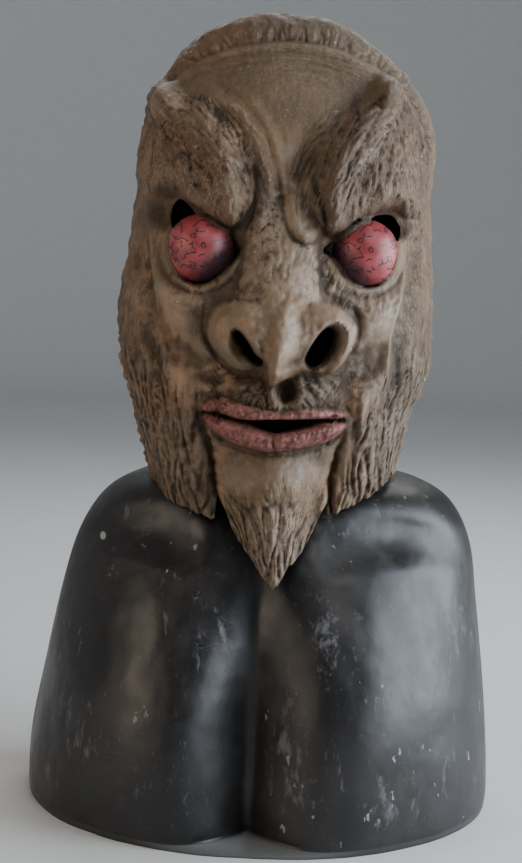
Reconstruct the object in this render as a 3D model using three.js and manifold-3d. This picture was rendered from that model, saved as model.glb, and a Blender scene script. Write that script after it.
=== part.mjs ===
// A horror mask on the display bust that carries it, in millimetres, +Z up, looking along -Y.
// The mask is a hollow latex head: horned brows, bulging resin eyes, a hooked nose, sideburns and a goatee.
// The origin is the middle of the whole object, at the level of the bust's underside.
import * as THREE from "three";
import { mergeVertices } from "three/addons/utils/BufferGeometryUtils.js";
import Module from "manifold-3d";

const wasm = await Module();
wasm.setup();

// Driving dimensions
const HEIGHT = 601; // underside of the bust to the crown of the mask
const LATEX = 4; // least wall of the mask
const CLEARANCE = 0.3; // between pieces that touch
const SEAT_GAP = 0.5; // around an eye in its seat
const MASK_TURN = 3; // degrees that the mask is turned on the bust, towards +X
const BALL_BACK = 12; // how far behind an eye's centre its flat back lies

// Each side has its own values, because the mask was modelled by hand and its halves differ.
// Places on the face are [x, z]; an outline or a line of them runs from the wearer's right, -X, to the left.
const EYES = {
  left: { x: -55, y: -80, z: 425, radius: 24.5 },
  right: { x: 62.5, y: -79.5, z: 425.5, radius: 24 },
};
const HORNS = {
  left: { foot: [-82, -62, 506], tip: [-92, -82, 535], radius: 19 },
  right: { foot: [75, -60, 516], tip: [79, -81, 547], radius: 18 },
};
const HORN_TIP = 5; // its radius there
const BROWS = {
  left: [[-90, 536], [-70, 533], [-54, 521], [-38, 503], [-27, 480], [-25, 458], [-31, 438], [-47, 447],
    [-63, 458], [-80, 461], [-106, 456], [-114, 482], [-106, 515]],
  right: [[79, 547], [65, 534], [49, 521], [35, 499], [28, 477], [29, 455], [37, 435], [50, 445],
    [64, 453], [82, 457], [108, 451], [117, 482], [108, 522]],
};
const NOSE = [[4, 462], [-22, 440], [-26, 416], [-33, 392], [-48, 380], [-48, 362], [-35, 346], [-12, 340],
  [-2, 329], [10, 339], [36, 339], [54, 353], [54, 376], [36, 392], [29, 416], [27, 440]];
const WINGS = { left: [-34, 367], right: [39, 364] };
const NOSTRILS = {
  left: { x: -20, z: 358, width: 5, height: 14, lean: -42 },
  right: { x: 31, z: 360, width: 9, height: 14, lean: 25 },
};
const SIGHT = { left: { x: -73, z: 448, width: 13 }, right: { x: 80, z: 449, width: 8 } };
const UPPER_LIP = [[-52, 315], [-46, 320], [-28, 320], [-9, 316], [4, 314], [10, 315], [27, 318], [50, 316],
  [52, 313], [36, 310], [18, 307], [2, 306], [-16, 307], [-34, 309]];
const LOWER_LIP = [[-50, 314], [-34, 307], [-16, 303], [2, 299], [19, 302], [36, 307], [51, 312], [48, 303],
  [38, 294], [20, 288], [3, 286], [-10, 286], [-30, 292], [-44, 302]];
const GOATEE_TIP = [5, 188];

// Curves

// A smooth curve through [place, value, value...] knots, listed in order of place.
function through(knots) {
  const last = knots.length - 1;
  const slope = (i, k) => {
    const [a, b] = [knots[Math.max(i - 1, 0)], knots[Math.min(i + 1, last)]];
    return (b[k] - a[k]) / (b[0] - a[0]);
  };
  return (place) => {
    const s = THREE.MathUtils.clamp(place, knots[0][0], knots[last][0]);
    let i = 0;
    while (i < last - 1 && knots[i + 1][0] < s) i += 1;
    const [from, to] = [knots[i], knots[i + 1]];
    const span = to[0] - from[0];
    const u = (s - from[0]) / span;
    const [u2, u3] = [u * u, u * u * u];
    return from.slice(1).map((value, n) => {
      const k = n + 1;
      return (2 * u3 - 3 * u2 + 1) * value + (u3 - 2 * u2 + u) * span * slope(i, k)
        + (3 * u2 - 2 * u3) * to[k] + (u3 - u2) * span * slope(i + 1, k);
    });
  };
}

// Straight lines through [place, value] knots.
const along = (knots) => (place) => {
  const s = THREE.MathUtils.clamp(place, knots[0][0], knots.at(-1)[0]);
  const i = Math.max(1, knots.findIndex(([at]) => at >= s));
  const [a, b] = [knots[i - 1], knots[i]];
  return a[1] + ((s - a[0]) / (b[0] - a[0])) * (b[1] - a[1]);
};

// 1 at the middle of a soft bump, 0 at its edge and beyond.
const bell = (distance) => (distance < 1 ? (1 - distance * distance) ** 2 : 0);

// The place on a path of [x, z, ...values] stations that is nearest to x, z.
function nearest(path, x, z) {
  let best = { distance: Infinity };
  for (let i = 0; i < path.length - 1; i += 1) {
    const [a, b] = [path[i], path[i + 1]];
    const [dx, dz] = [b[0] - a[0], b[1] - a[1]];
    const u = THREE.MathUtils.clamp(((x - a[0]) * dx + (z - a[1]) * dz) / (dx * dx + dz * dz), 0, 1);
    const distance = Math.hypot(x - a[0] - u * dx, z - a[1] - u * dz);
    if (distance < best.distance) {
      best = { distance, values: a.slice(2).map((value, k) => value + u * (b[k + 2] - value)) };
    }
  }
  return best;
}

// Whether x, z lies inside a closed outline.
function isInside(outline, x, z) {
  let inside = false;
  outline.forEach(([ax, az], i) => {
    const [bx, bz] = outline.at(i - 1);
    if (az > z !== bz > z && x < ax + ((z - az) / (bz - az)) * (bx - ax)) inside = !inside;
  });
  return inside;
}

// Modelling strokes: each moves a point of the face forward or back, as a thumb moves clay

// A ridge along stations of [x, z, height, reach]; a negative height cuts a furrow.
const ridge = (path) => (x, z) => {
  const { distance, values: [height, reach] } = nearest(path, x, z);
  return height * bell(distance / reach);
};

// An oval swelling or hollow.
const swelling = ([x, z], [wide, high], height) => (px, pz) => (
  height * bell(Math.hypot((px - x) / wide, (pz - z) / high))
);

// A cushion of flesh that fills an outline and rises over its shoulder. Its height may differ over its width.
function cushion(outline, height, shoulder) {
  const rounded = new THREE.CatmullRomCurve3(outline.map(([x, z]) => new THREE.Vector3(x, 0, z)), true)
    .getPoints(outline.length * 3)
    .map(({ x, z }) => [x, z]);
  const lift = typeof height === "function" ? height : () => height;
  return (x, z) => {
    if (!isInside(rounded, x, z)) return 0;
    const risen = Math.min(nearest(rounded, x, z).distance / shoulder, 1);
    return lift(x, z) * risen * (2 - risen);
  };
}

// Mask: its plain form

// Level sections of the mask: [level, height, half width, front, back, middle y, middle x].
const MASK_LEVELS = through([
  [0, HEIGHT, 0, 0, 0, 12, 3],
  [1, 598, 32, 26, 33, 12, 2],
  [2, 587, 58, 46, 60, 12, 1],
  [3, 566, 83, 60, 80, 12, 4],
  [4, 540, 101, 74, 96, 12, 7],
  [5, 505, 112, 90, 106, 11, 7],
  [6, 465, 112, 100, 108, 10, 5],
  [7, 425, 115, 107, 106, 9, 4],
  [8, 380, 119, 112, 101, 7, 2],
  [9, 340, 117, 113, 94, 6, 3],
  [10, 305, 106, 112, 86, 5, 2],
  [11, 275, 98, 108, 81, 4, 2],
  [12, 250, 91, 110, 80, 3, 3],
  [13, 185, 60, 114, 70, 3, 3],
]);
const LAST_LEVEL = 13;
const FACE_FLATNESS = 2.3;
const CHEST_FLATNESS = 2.05;
const BACK_FLATNESS = 2.1;

// A point of a rounded section. Turn runs from -1 at the back, over 0 at the front, to 1 at the back again.
function sectionPoint([height, half, front, back, midY, midX], turn, frontFlatness = FACE_FLATNESS) {
  const angle = turn * Math.PI;
  const x = Math.sin(angle);
  const ahead = Math.cos(angle) > 0;
  const flatness = ahead ? frontFlatness : BACK_FLATNESS;
  const depth = Math.max(0, 1 - Math.abs(x) ** flatness) ** (1 / flatness);
  return new THREE.Vector3(midX + half * x, midY + (ahead ? -front : back) * depth, height);
}

function levelAt(height) {
  let [high, low] = [0, LAST_LEVEL];
  for (let i = 0; i < 24; i += 1) {
    const middle = (high + low) / 2;
    if (MASK_LEVELS(middle)[0] > height) high = middle;
    else low = middle;
  }
  return high;
}

// Lines that the mesh of the face follows, so that its edges fall on the folds: how many rows lead down to
// each line, and its height across the face.
const FLOW = [
  [8, [[-120, 500], [-106, 512], [-75, 540], [-57, 560], [-30, 569], [1, 573], [34, 570], [57, 561], [78, 548],
    [108, 518], [120, 508]]],
  [5, [[-118, 492], [-70, 500], [0, 516], [70, 504], [118, 494]]],
  [4, [[-118, 458], [-80, 464], [-63, 461], [-47, 450], [-29, 439], [-6, 452], [5, 455], [20, 450], [38, 438],
    [50, 448], [64, 456], [82, 460], [118, 455]]],
  [1, [[-118, 452], [-80, 458], [-63, 455], [-47, 443], [-29, 432], [-6, 446], [5, 448], [20, 444], [38, 431],
    [50, 441], [64, 449], [82, 453], [118, 448]]],
  [4, [[-118, 404], [-80, 402], [-54, 396], [-28, 400], [0, 404], [30, 400], [62, 398], [88, 402], [118, 404]]],
  [3, [[-118, 372], [-50, 374], [0, 372], [54, 370], [118, 370]]],
  [4, [[-118, 342], [-50, 346], [-30, 344], [0, 334], [36, 336], [60, 342], [118, 340]]],
  [2, [[-110, 326], [-52, 321], [-30, 321], [5, 316], [28, 318], [54, 318], [110, 324]]],
  [2, [[-110, 314], [-52, 315], [-16, 305], [2, 303], [19, 304], [52, 313], [110, 312]]],
  [3, [[-106, 294], [-46, 299], [-30, 291], [3, 284], [22, 287], [50, 298], [106, 292]]],
  [2, [[-98, 280], [-40, 276], [0, 272], [42, 276], [100, 280]]],
  // the lower edge: past the sideburns and down the goatee
  [5, [[-98, 269], [-86, 257], [-73, 244], [-57, 236], [-43, 232], [-40, 246], [-37, 246], [-30, 226],
    [-18, 207], [...GOATEE_TIP], [22, 208], [33, 230], [38, 247], [43, 249], [47, 235], [60, 242], [74, 251],
    [88, 260], [100, 270]]],
];
const BACK_HEM = 262;

// Mask: its modelling

const mirrored = (side) => (side === "left" ? -1 : 1);

// How far a brow stands out at each level: it thins out upwards.
const THICKNESS = along([[440, 28], [470, 28], [505, 23], [530, 15], [548, 9]]);

// A brow is a heavy wedge, deepest beside the nose, with a ridge from there to its horn.
function brow(side) {
  const outline = BROWS[side];
  const s = mirrored(side);
  const [horn] = outline;
  const deepest = outline[6];
  const thickness = (x, z) => THICKNESS(z) - 0.06 * Math.abs(x);
  return [
    cushion(outline, thickness, 12),
    ridge([[horn[0], horn[1] - 8, 14, 18], [horn[0] * 0.76, horn[1] - 30, 9, 22], [deepest[0] + s * 14, 486, 4, 18],
      [deepest[0] + s * 6, 458, 3, 16]]),
    ridge([[deepest[0] + s * 4, 444, 7, 11], [deepest[0] + s * 24, 459, 10, 13], [s * 78, 470, 8, 14]]),
  ];
}

// The hollow around an eye, the lid below it, and the bag under the lid.
function socket(side) {
  const { x, z } = EYES[side];
  const s = mirrored(side);
  const lid = [[x - s * 29, z + 4, 3, 9], [x - s * 23, z - 17, 8, 9], [x - s * 2, z - 29, 9, 9],
    [x + s * 21, z - 21, 8, 9], [x + s * 30, z, 5, 9]];
  return [
    swelling([x + s * 1, z + 2], [39, 38], -22),
    swelling([x + s * 22, z + 24], [19, 18], -8),
    ridge(lid),
    ridge([[x - s * 22, z - 34, 5, 9], [x + s * 2, z - 43, 6, 10], [x + s * 28, z - 33, 5, 10]]),
  ];
}

// The nose grows from its root to its wings.
const nosing = (x, z) => THREE.MathUtils.lerp(29, 4, THREE.MathUtils.smoothstep(z, 364, 466));

const FACE = [
  ...brow("left"),
  ...brow("right"),
  // the furrows between the brows and the fold of skin that they pinch up
  ridge([[-60, 534, 3, 8], [-46, 525, 7, 9], [-28, 505, 9, 10], [-17, 480, 10, 9], [-19, 458, 8, 8]]),
  ridge([[-8, 520, -4, 16], [0, 496, -7, 13], [-4, 466, -5, 10]]),
  ridge([[52, 536, -4, 12], [32, 512, -8, 12], [21, 486, -11, 11], [23, 460, -9, 8]]),
  ridge([[18, 512, 2, 11], [13, 486, 7, 10], [12, 462, 12, 10], [8, 446, 10, 8]]),
  ...socket("left"),
  ...socket("right"),
  // the hairline
  ridge([[-78, 534, 4, 8], [-57, 558, 5, 8], [-30, 568, 6, 8], [1, 572, 6, 8], [34, 569, 6, 8], [57, 560, 5, 8],
    [84, 540, 4, 8]]),
  // nose: its root and wings as one cushion, the wings themselves, and the ridge to the hooked tip
  cushion(NOSE, nosing, 11),
  swelling(WINGS.left, [18, 22], 12),
  swelling(WINGS.right, [20, 24], 12),
  ridge([[4, 446, 4, 22], [2, 412, 9, 25], [-2, 384, 17, 24], [-3, 362, 24, 20], [-2, 346, 26, 14],
    [-2, 336, 16, 9]]),
  // cheeks: bone under the eye, hollow below it, and the furrow where the face meets the mane
  ridge([[-90, 392, 5, 18], [-70, 380, 8, 18], [-58, 366, 4, 14]]),
  ridge([[92, 390, 5, 18], [76, 380, 8, 18], [64, 364, 4, 14]]),
  ridge([[-76, 350, -5, 14], [-62, 348, -8, 14], [-48, 338, -5, 12]]),
  ridge([[80, 350, -5, 14], [68, 344, -8, 14], [52, 331, -5, 12]]),
  // mouth: full lips on a slight muzzle, with a pit under the nose
  swelling([2, 308], [66, 44], 9),
  cushion(UPPER_LIP, 9, 5),
  cushion(LOWER_LIP, 12, 7),
  swelling([9, 329], [8, 9], -8),
  // chin, goatee and sideburns, with a deep cleft on each side of the chin
  swelling([1, 266], [42, 26], 8),
  ridge([[0, 256, 9, 40], [2, 232, 14, 36], [GOATEE_TIP[0], 205, 14, 26], [...GOATEE_TIP, 12, 18]]),
  swelling([-66, 286], [28, 52], 9),
  swelling([70, 292], [28, 50], 9),
  ridge([[-52, 304, -5, 7], [-46, 284, -16, 8], [-41, 262, -18, 8], [-38, 242, -16, 8]]),
  ridge([[50, 296, -5, 7], [44, 276, -16, 8], [42, 260, -18, 8], [43, 242, -16, 8]]),
];

// The mane stands out from the head at both sides, behind a furrow along the edge of the face.
const MANE = [
  ridge([[-101, 440, -4, 8], [-95, 400, -7, 9], [-93, 362, -7, 9], [-86, 312, -5, 9], [-80, 290, -2, 9]]),
  ridge([[99, 434, -4, 8], [97, 394, -7, 9], [92, 362, -7, 9], [89, 326, -5, 9], [82, 300, -2, 9]]),
];

// Strokes fade out round the sides of the head, where the face turns away.
const facing = (y) => THREE.MathUtils.smoothstep(-y, 8, 48);

// A lock of hair every second column of the mesh: over the crown, down the mane, the sideburns and the goatee.
const LOCK = 3.2;
const NEARBY = 9;
const hairiness = (x, z) => {
  const crown = THREE.MathUtils.smoothstep(z, 556, 578);
  const mane = THREE.MathUtils.smoothstep(Math.abs(x - 2), 92, 100);
  const beard = THREE.MathUtils.smoothstep(-z, -292, -262);
  return Math.max(crown, mane, beard);
};

// A point of the mask's plain form. Row counts down the lines of FLOW, as does the mesh of the face.
function plainPoint(row, turn) {
  let line = 0;
  let rest = row;
  while (line < FLOW.length - 1 && rest > FLOW[line][0]) {
    rest -= FLOW[line][0];
    line += 1;
  }
  const share = rest / FLOW[line][0];
  const side = Math.sin(turn * Math.PI);
  const behind = THREE.MathUtils.clamp((Math.abs(turn) - 0.5) * 4, 0, 1);
  const heightOf = (knots, isHem) => {
    const half = MASK_LEVELS(levelAt(along(knots)(0) - (isHem ? -60 : 0)))[1];
    const height = along(knots)(3 + half * side);
    const rear = isHem ? BACK_HEM : height;
    return THREE.MathUtils.lerp(height, rear, behind);
  };
  const isLast = line === FLOW.length - 1;
  const above = line === 0 ? 0 : levelAt(heightOf(FLOW[line - 1][1], false));
  const below = levelAt(heightOf(FLOW[line][1], isLast));
  return sectionPoint(MASK_LEVELS(THREE.MathUtils.lerp(above, below, share)), turn);
}

const total = (strokes, x, z) => strokes.reduce((sum, stroke) => sum + stroke(x, z), 0);

const outwards = ({ x, y, z }) => new THREE.Vector3(x - 3, y - 10, 1.2 * Math.max(z - 520, 0)).normalize();

function maskPoint(row, turn, lock) {
  const p = plainPoint(row, turn);
  const { x, z } = p;
  const outward = outwards(p);
  const away = lock * LOCK * hairiness(x, z) + (p.y < 0 ? total(MANE, x, z) : 0);
  p.y -= total(FACE, x, z) * facing(p.y);
  return p.addScaledVector(outward, away);
}

// Solids

// Closes a stack of rings with a point at each end. Each ring runs anticlockwise seen from above, highest first.
// Each four-sided cell is parted along its shorter diagonal.
function lofted(top, rings, bottom) {
  const count = rings[0].length;
  const points = [top, ...rings.flat(), bottom];
  const at = (i, j) => 1 + i * count + (j % count);
  const faces = [];
  for (let j = 0; j < count; j += 1) {
    faces.push(0, at(0, j), at(0, j + 1));
    for (let i = 0; i < rings.length - 1; i += 1) {
      const [a, b, c, d] = [at(i, j), at(i + 1, j), at(i + 1, j + 1), at(i, j + 1)];
      if (points[a].distanceTo(points[c]) < points[b].distanceTo(points[d])) faces.push(a, b, c, a, c, d);
      else faces.push(a, b, d, b, c, d);
    }
    faces.push(points.length - 1, at(rings.length - 1, j + 1), at(rings.length - 1, j));
  }
  const geometry = new THREE.BufferGeometry().setFromPoints(points);
  geometry.setIndex(faces);
  return geometry;
}

function toSolid(geometry) {
  const bare = geometry.clone();
  bare.deleteAttribute("normal");
  bare.deleteAttribute("uv");
  const merged = mergeVertices(bare, 1e-3);
  return new wasm.Manifold(new wasm.Mesh({
    numProp: 3,
    vertProperties: merged.attributes.position.array,
    triVerts: new Uint32Array(merged.index.array),
  }));
}

function toGeometry(solid) {
  const { vertProperties, triVerts } = solid.getMesh();
  const geometry = new THREE.BufferGeometry();
  geometry.setAttribute("position", new THREE.BufferAttribute(vertProperties, 3));
  geometry.setIndex(new THREE.BufferAttribute(triVerts, 1));
  geometry.computeVertexNormals();
  return geometry;
}

// Turns around a head: closer together over the face than behind.
function turns(face, behind) {
  const front = Array.from({ length: face + 1 }, (_, i) => (2 * i) / face - 1)
    .map((s) => 0.5 * s * (0.66 + 0.34 * s * s));
  const rear = Array.from({ length: behind - 1 }, (_, i) => 0.5 + (i + 1) / behind);
  return [...front, ...rear];
}

const ROWS = FLOW.reduce((sum, [count]) => sum + count, 0);
const TOP_ROW = 0.7;

// The mask's outside: the point of its crown, rings down the rows of FLOW, and a point below its open underside.
function maskOutside() {
  const around = turns(42, 12);
  const rows = [TOP_ROW, ...Array.from({ length: ROWS - 1 }, (_, i) => i + 2)];
  const rings = rows.map((row) => around.map((turn, j) => maskPoint(row, turn, j % 2 ? 0.5 : -0.5)));
  return lofted(plainPoint(0, 0), rings, new THREE.Vector3(0, -12, 268));
}

// The hollow keeps clear of the deepest furrow nearby, follows most of every swelling, and runs on below the hem.
function hollowPoint(row, turn) {
  const p = plainPoint(row, turn);
  const nearby = [[0, 0], [-NEARBY, 0], [NEARBY, 0], [0, -NEARBY], [0, NEARBY]];
  const least = (strokes) => Math.min(...nearby.map(([dx, dz]) => total(strokes, p.x + dx, p.z + dz)));
  const push = least(FACE);
  const outward = outwards(p);
  p.y -= (push > 0 ? 0.8 * push : push) * facing(p.y);
  return p.addScaledVector(outward, Math.min(0, least(MANE)) - LATEX - LOCK / 2);
}

function maskInside() {
  const around = turns(24, 6);
  const rows = [1, 3, 5, 7, 8.5, 10, 11.5, 13, 15, 17, 19, 21, 23, 25.5, 28, 30.5, 33, 35, 37.5, 40];
  const rings = rows.map((row) => around.map((turn) => hollowPoint(row, turn)));
  const mouth = rings.at(-1).map(({ x, y }) => new THREE.Vector3(x, y, 170));
  const top = new THREE.Vector3(3, 12, HEIGHT - LATEX - LOCK / 2);
  return lofted(top, [...rings, mouth], new THREE.Vector3(0, -12, 160));
}

function ellipsoid([x, y, z], [rx, ry, rz], lean = 0) {
  const geometry = new THREE.SphereGeometry(1, 12, 8);
  geometry.scale(rx, ry, rz);
  geometry.rotateY(THREE.MathUtils.degToRad(lean));
  geometry.translate(x, y, z);
  return toSolid(geometry);
}

// The slit of the mouth: a lens cut through the lips from front to back.
function mouthSlit() {
  const lens = new THREE.Shape();
  lens.moveTo(-24, 306);
  lens.quadraticCurveTo(4, 311, 40, 310);
  lens.quadraticCurveTo(8, 293, -24, 306);
  const geometry = new THREE.ExtrudeGeometry(lens, { depth: 80, bevelEnabled: false, curveSegments: 6 });
  geometry.rotateX(Math.PI / 2);
  geometry.translate(0, -70, 0);
  return toSolid(geometry);
}

// A ball with a flat back, turned on a lathe. It looks along -Y, and its centre is at the origin.
function eyeBall(radius, back) {
  const step = Math.PI / 12;
  const last = Math.acos(-back / radius);
  const profile = [new THREE.Vector2(0, -radius)];
  for (let angle = step; angle < last; angle += step) {
    profile.push(new THREE.Vector2(radius * Math.sin(angle), -radius * Math.cos(angle)));
  }
  profile.push(new THREE.Vector2(radius * Math.sin(last), back), new THREE.Vector2(0, back));
  return new THREE.LatheGeometry(profile, 18);
}

function horn(side) {
  const { foot, tip, radius } = HORNS[side];
  const from = new THREE.Vector3(...foot);
  const reach = new THREE.Vector3(...tip).sub(from);
  const geometry = new THREE.CylinderGeometry(HORN_TIP, radius, reach.length(), 12, 1);
  geometry.translate(0, reach.length() / 2, 0);
  geometry.applyQuaternion(new THREE.Quaternion().setFromUnitVectors(new THREE.Vector3(0, 1, 0), reach.normalize()));
  geometry.translate(from.x, from.y, from.z);
  return toSolid(geometry);
}

function makeMask() {
  let solid = toSolid(maskOutside());
  for (const side of ["left", "right"]) solid = solid.add(horn(side));
  solid = solid.subtract(toSolid(maskInside())).subtract(mouthSlit());
  for (const side of ["left", "right"]) {
    const s = mirrored(side);
    const { x, y, z, radius } = EYES[side];
    const nostril = NOSTRILS[side];
    const seat = eyeBall(radius + SEAT_GAP, BALL_BACK + 6).translate(x, y, z);
    solid = solid.subtract(toSolid(seat));
    solid = solid.subtract(ellipsoid([SIGHT[side].x, -88, SIGHT[side].z], [SIGHT[side].width, 40, 9]));
    solid = solid.subtract(ellipsoid(
      [nostril.x, -126, nostril.z],
      [nostril.width, 38, nostril.height],
      nostril.lean,
    ));
  }
  return toGeometry(solid);
}

function makeEye(side) {
  const geometry = eyeBall(EYES[side].radius, BALL_BACK);
  geometry.deleteAttribute("normal");
  geometry.deleteAttribute("uv");
  return mergeVertices(geometry, 1e-3);
}

// Bust

// Level sections from the crown of its plain head down, as for the mask.
const HEAD_TOP = HEIGHT - LATEX - LOCK / 2 - CLEARANCE;
const BUST_LEVELS = through([
  [0, HEAD_TOP, 0, 0, 0, 12, 3],
  [1, HEAD_TOP - 10, 34, 28, 34, 12, 3],
  [2, HEAD_TOP - 45, 62, 46, 62, 12, 3],
  [3, 500, 74, 62, 82, 10, 3],
  [4, 440, 70, 62, 78, 8, 3],
  [5, 390, 58, 58, 62, 6, 3],
  [6, 350, 54, 50, 56, 8, 3],
  [7, 300, 57, 50, 60, 10, 4],
  [8, 264, 66, 54, 56, 12, 7],
  [9, 252, 107, 68, 68, 12, 10],
  [10, 236, 134, 86, 78, 12, 9],
  [11, 205, 152, 112, 88, 14, 7],
  [12, 160, 162, 138, 92, 16, 4],
  [13, 100, 172, 158, 93, 18, 2],
  [14, 50, 179, 167, 92, 18, 0],
  [15, 14, 181, 168, 92, 18, 0],
  [16, 0, 180, 166, 91, 18, 0],
]);
const SHOULDER_TOP = 262;

const CHEST = [-1, 1].flatMap((s) => [
  swelling([s * 84, 100], [80, 110], 10),
  ridge([[s * 38, 232, 4, 18], [s * 84, 246, 6, 18], [s * 128, 238, 4, 18]]),
  ridge([[s * 56, 208, -4, 20], [s * 96, 216, -7, 20], [s * 146, 208, -5, 18]]),
]);

// The furrow between the breasts, as [level, depth, reach to each side]. It fades out towards the collar, and
// ends below on a thin plate that closes the bust.
const PLATE = 4;
const FURROW = through([[PLATE, 40, 54], [60, 40, 56], [110, 33, 54], [170, 17, 50], [215, 4, 44],
  [SHOULDER_TOP, 0, 40]]);

function bustPoint(row, turn) {
  const p = sectionPoint(BUST_LEVELS(row), turn, CHEST_FLATNESS);
  if (p.z > SHOULDER_TOP) return p;
  const [depth, reach] = p.z < PLATE ? [0, 1] : FURROW(p.z);
  const crease = Math.max(0, 1 - Math.abs(p.x + 2) / reach) ** 1.8;
  const push = CHEST.reduce((sum, stroke) => sum + stroke(p.x, p.z), 0) - depth * crease;
  const fade = THREE.MathUtils.smoothstep(SHOULDER_TOP - p.z, 0, 14);
  p.y -= push * fade * facing(p.y);
  return p;
}

// The third row from the last lies just above the plate, and the last two on its edge.
function makeBust() {
  const rows = [0.6, 1.2, 2, 3, 4, 5, 6, 7, 8, 8.5, 9, 9.5, 10, 10.5, 11, 11.5, 12, 12.5, 13, 13.5, 14, 14.5, 15,
    15.64, 15.7, 16];
  const around = turns(24, 8);
  const rings = rows.map((row) => around.map((turn) => bustPoint(row, turn)));
  return lofted(bustPoint(0, 0), rings, new THREE.Vector3(0, 0, 0));
}

// Materials

const latex = new THREE.MeshStandardMaterial({ color: 0x6e6052, roughness: 0.62, metalness: 0 });
const resin = new THREE.MeshStandardMaterial({ color: 0xa8383c, roughness: 0.2, metalness: 0 });
const lacquer = new THREE.MeshStandardMaterial({ color: 0x17171a, roughness: 0.32, metalness: 0 });

function piece(name, geometry, material) {
  const mesh = new THREE.Mesh(geometry, material);
  mesh.name = name;
  return mesh;
}

// Assembly

const mask = new THREE.Group();
mask.rotation.z = THREE.MathUtils.degToRad(MASK_TURN);
mask.add(piece("mask_skin", makeMask(), latex));
for (const side of ["left", "right"]) {
  const eye = piece(`eye_${side}`, makeEye(side), resin);
  eye.position.set(EYES[side].x, EYES[side].y, EYES[side].z);
  mask.add(eye);
}

const horrorMask = new THREE.Group();
horrorMask.add(piece("display_bust", makeBust(), lacquer), mask);
const extent = new THREE.Box3().setFromObject(horrorMask, true);
const middle = extent.getCenter(new THREE.Vector3());
horrorMask.position.set(-middle.x, -middle.y, -extent.min.z);

export default horrorMask;
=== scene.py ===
# %% [markdown]
# # A horror mask on its display bust
#
# The real object is a hollow head of thin latex, cast in a mould and painted by hand, pulled over a glossy
# black display bust. Two painted resin balls look out of it as eyes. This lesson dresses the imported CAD
# model: it keeps the CAD's sizes, and gives every surface the folds, cracks, paint and gloss of the real
# one.

import math

import bmesh
import bpy
import numpy as np
from mathutils import Matrix, Vector


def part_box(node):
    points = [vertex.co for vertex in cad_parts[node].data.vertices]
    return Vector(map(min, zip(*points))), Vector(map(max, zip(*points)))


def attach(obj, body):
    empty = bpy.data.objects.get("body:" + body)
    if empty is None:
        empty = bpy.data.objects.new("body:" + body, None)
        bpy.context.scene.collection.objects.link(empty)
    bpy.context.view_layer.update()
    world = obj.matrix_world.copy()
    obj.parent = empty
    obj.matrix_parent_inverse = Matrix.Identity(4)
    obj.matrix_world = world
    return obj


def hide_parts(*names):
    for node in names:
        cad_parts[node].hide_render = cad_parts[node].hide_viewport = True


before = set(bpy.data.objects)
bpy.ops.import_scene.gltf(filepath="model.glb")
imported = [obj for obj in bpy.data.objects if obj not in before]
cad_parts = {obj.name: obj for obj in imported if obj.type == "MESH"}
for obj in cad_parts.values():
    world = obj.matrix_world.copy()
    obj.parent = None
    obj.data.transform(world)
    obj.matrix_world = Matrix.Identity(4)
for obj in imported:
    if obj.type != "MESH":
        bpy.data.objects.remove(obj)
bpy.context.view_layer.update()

# %% [markdown]
# ## Where things are
#
# The mask was measured on its own axes, in millimetres, and then turned three degrees on the bust. One
# helper takes such a place into the frame. The shift along Y comes from the box of an eye, whose centre is
# known.

# %% From the mask's own axes to the frame
MM = 0.001
MASK_TURN = math.radians(3)
LEFT_SEAT = (-55, -80, 425)
SEAT_RADIUS = 24.5
EYES = {"left": (-54.8, -80, 425, 24.3), "right": (62.6, -79.5, 425.6, 23.8)}
SIDES = {"left": -1, "right": 1}


def turned(points):
    """Turns an array of x, y, z places about Z, as the mask is turned on the bust."""
    x, y, z = points.T
    c, s = math.cos(MASK_TURN), math.sin(MASK_TURN)
    return np.stack([c * x - s * y, s * x + c * y, z], axis=1)


eye_front = turned(np.array([LEFT_SEAT], float))[0][1] - SEAT_RADIUS
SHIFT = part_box("eye_left")[0][1] / MM - eye_front


def in_frame(points):
    """Millimetres on the mask's axes to metres in the frame."""
    moved = turned(points)
    moved[:, 1] += SHIFT
    return moved * MM


print(f"shift along Y: {SHIFT:.2f} mm")

# %% [markdown]
# ## Camera, floor and light
#
# The photograph was taken from just below the eyes of the mask, with a lens of about twice the normal
# length, tipped a little down and rolled two degrees. The floor is a plain pale disc whose edge curves up
# into a round wall, so no horizon shows from any side. One large soft lamp stands on the right and a weaker
# one on the left, and the gloss of the bust shows them as broad soft streaks.

# %% Helpers that put things in the scene


def add_object(name, data):
    thing = bpy.data.objects.new(name, data)
    bpy.context.collection.objects.link(thing)
    return thing


def to_object(name, shape):
    """Turns a finished bmesh into an object with smooth faces."""
    mesh = bpy.data.meshes.new(name)
    shape.to_mesh(mesh)
    shape.free()
    mesh.polygons.foreach_set("use_smooth", [True] * len(mesh.polygons))
    return add_object(name, mesh)


# %% Camera
LENS_PIXELS = 1699
PICTURE_HEIGHT = 863
SENSOR = 36
CAMERA_PLACE = (39.4, -1299.4 + SHIFT, 436.0)
CAMERA_TURN = math.radians(2)
CAMERA_PITCH = math.radians(6.6)
CAMERA_ROLL = math.radians(2)

ahead = Vector((
    -math.sin(CAMERA_TURN) * math.cos(CAMERA_PITCH),
    math.cos(CAMERA_TURN) * math.cos(CAMERA_PITCH),
    -math.sin(CAMERA_PITCH),
))
sideways = Vector((math.cos(CAMERA_TURN), math.sin(CAMERA_TURN), 0))
upward = sideways.cross(ahead)
to_right = sideways * math.cos(CAMERA_ROLL) + upward * math.sin(CAMERA_ROLL)
to_top = upward * math.cos(CAMERA_ROLL) - sideways * math.sin(CAMERA_ROLL)

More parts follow.
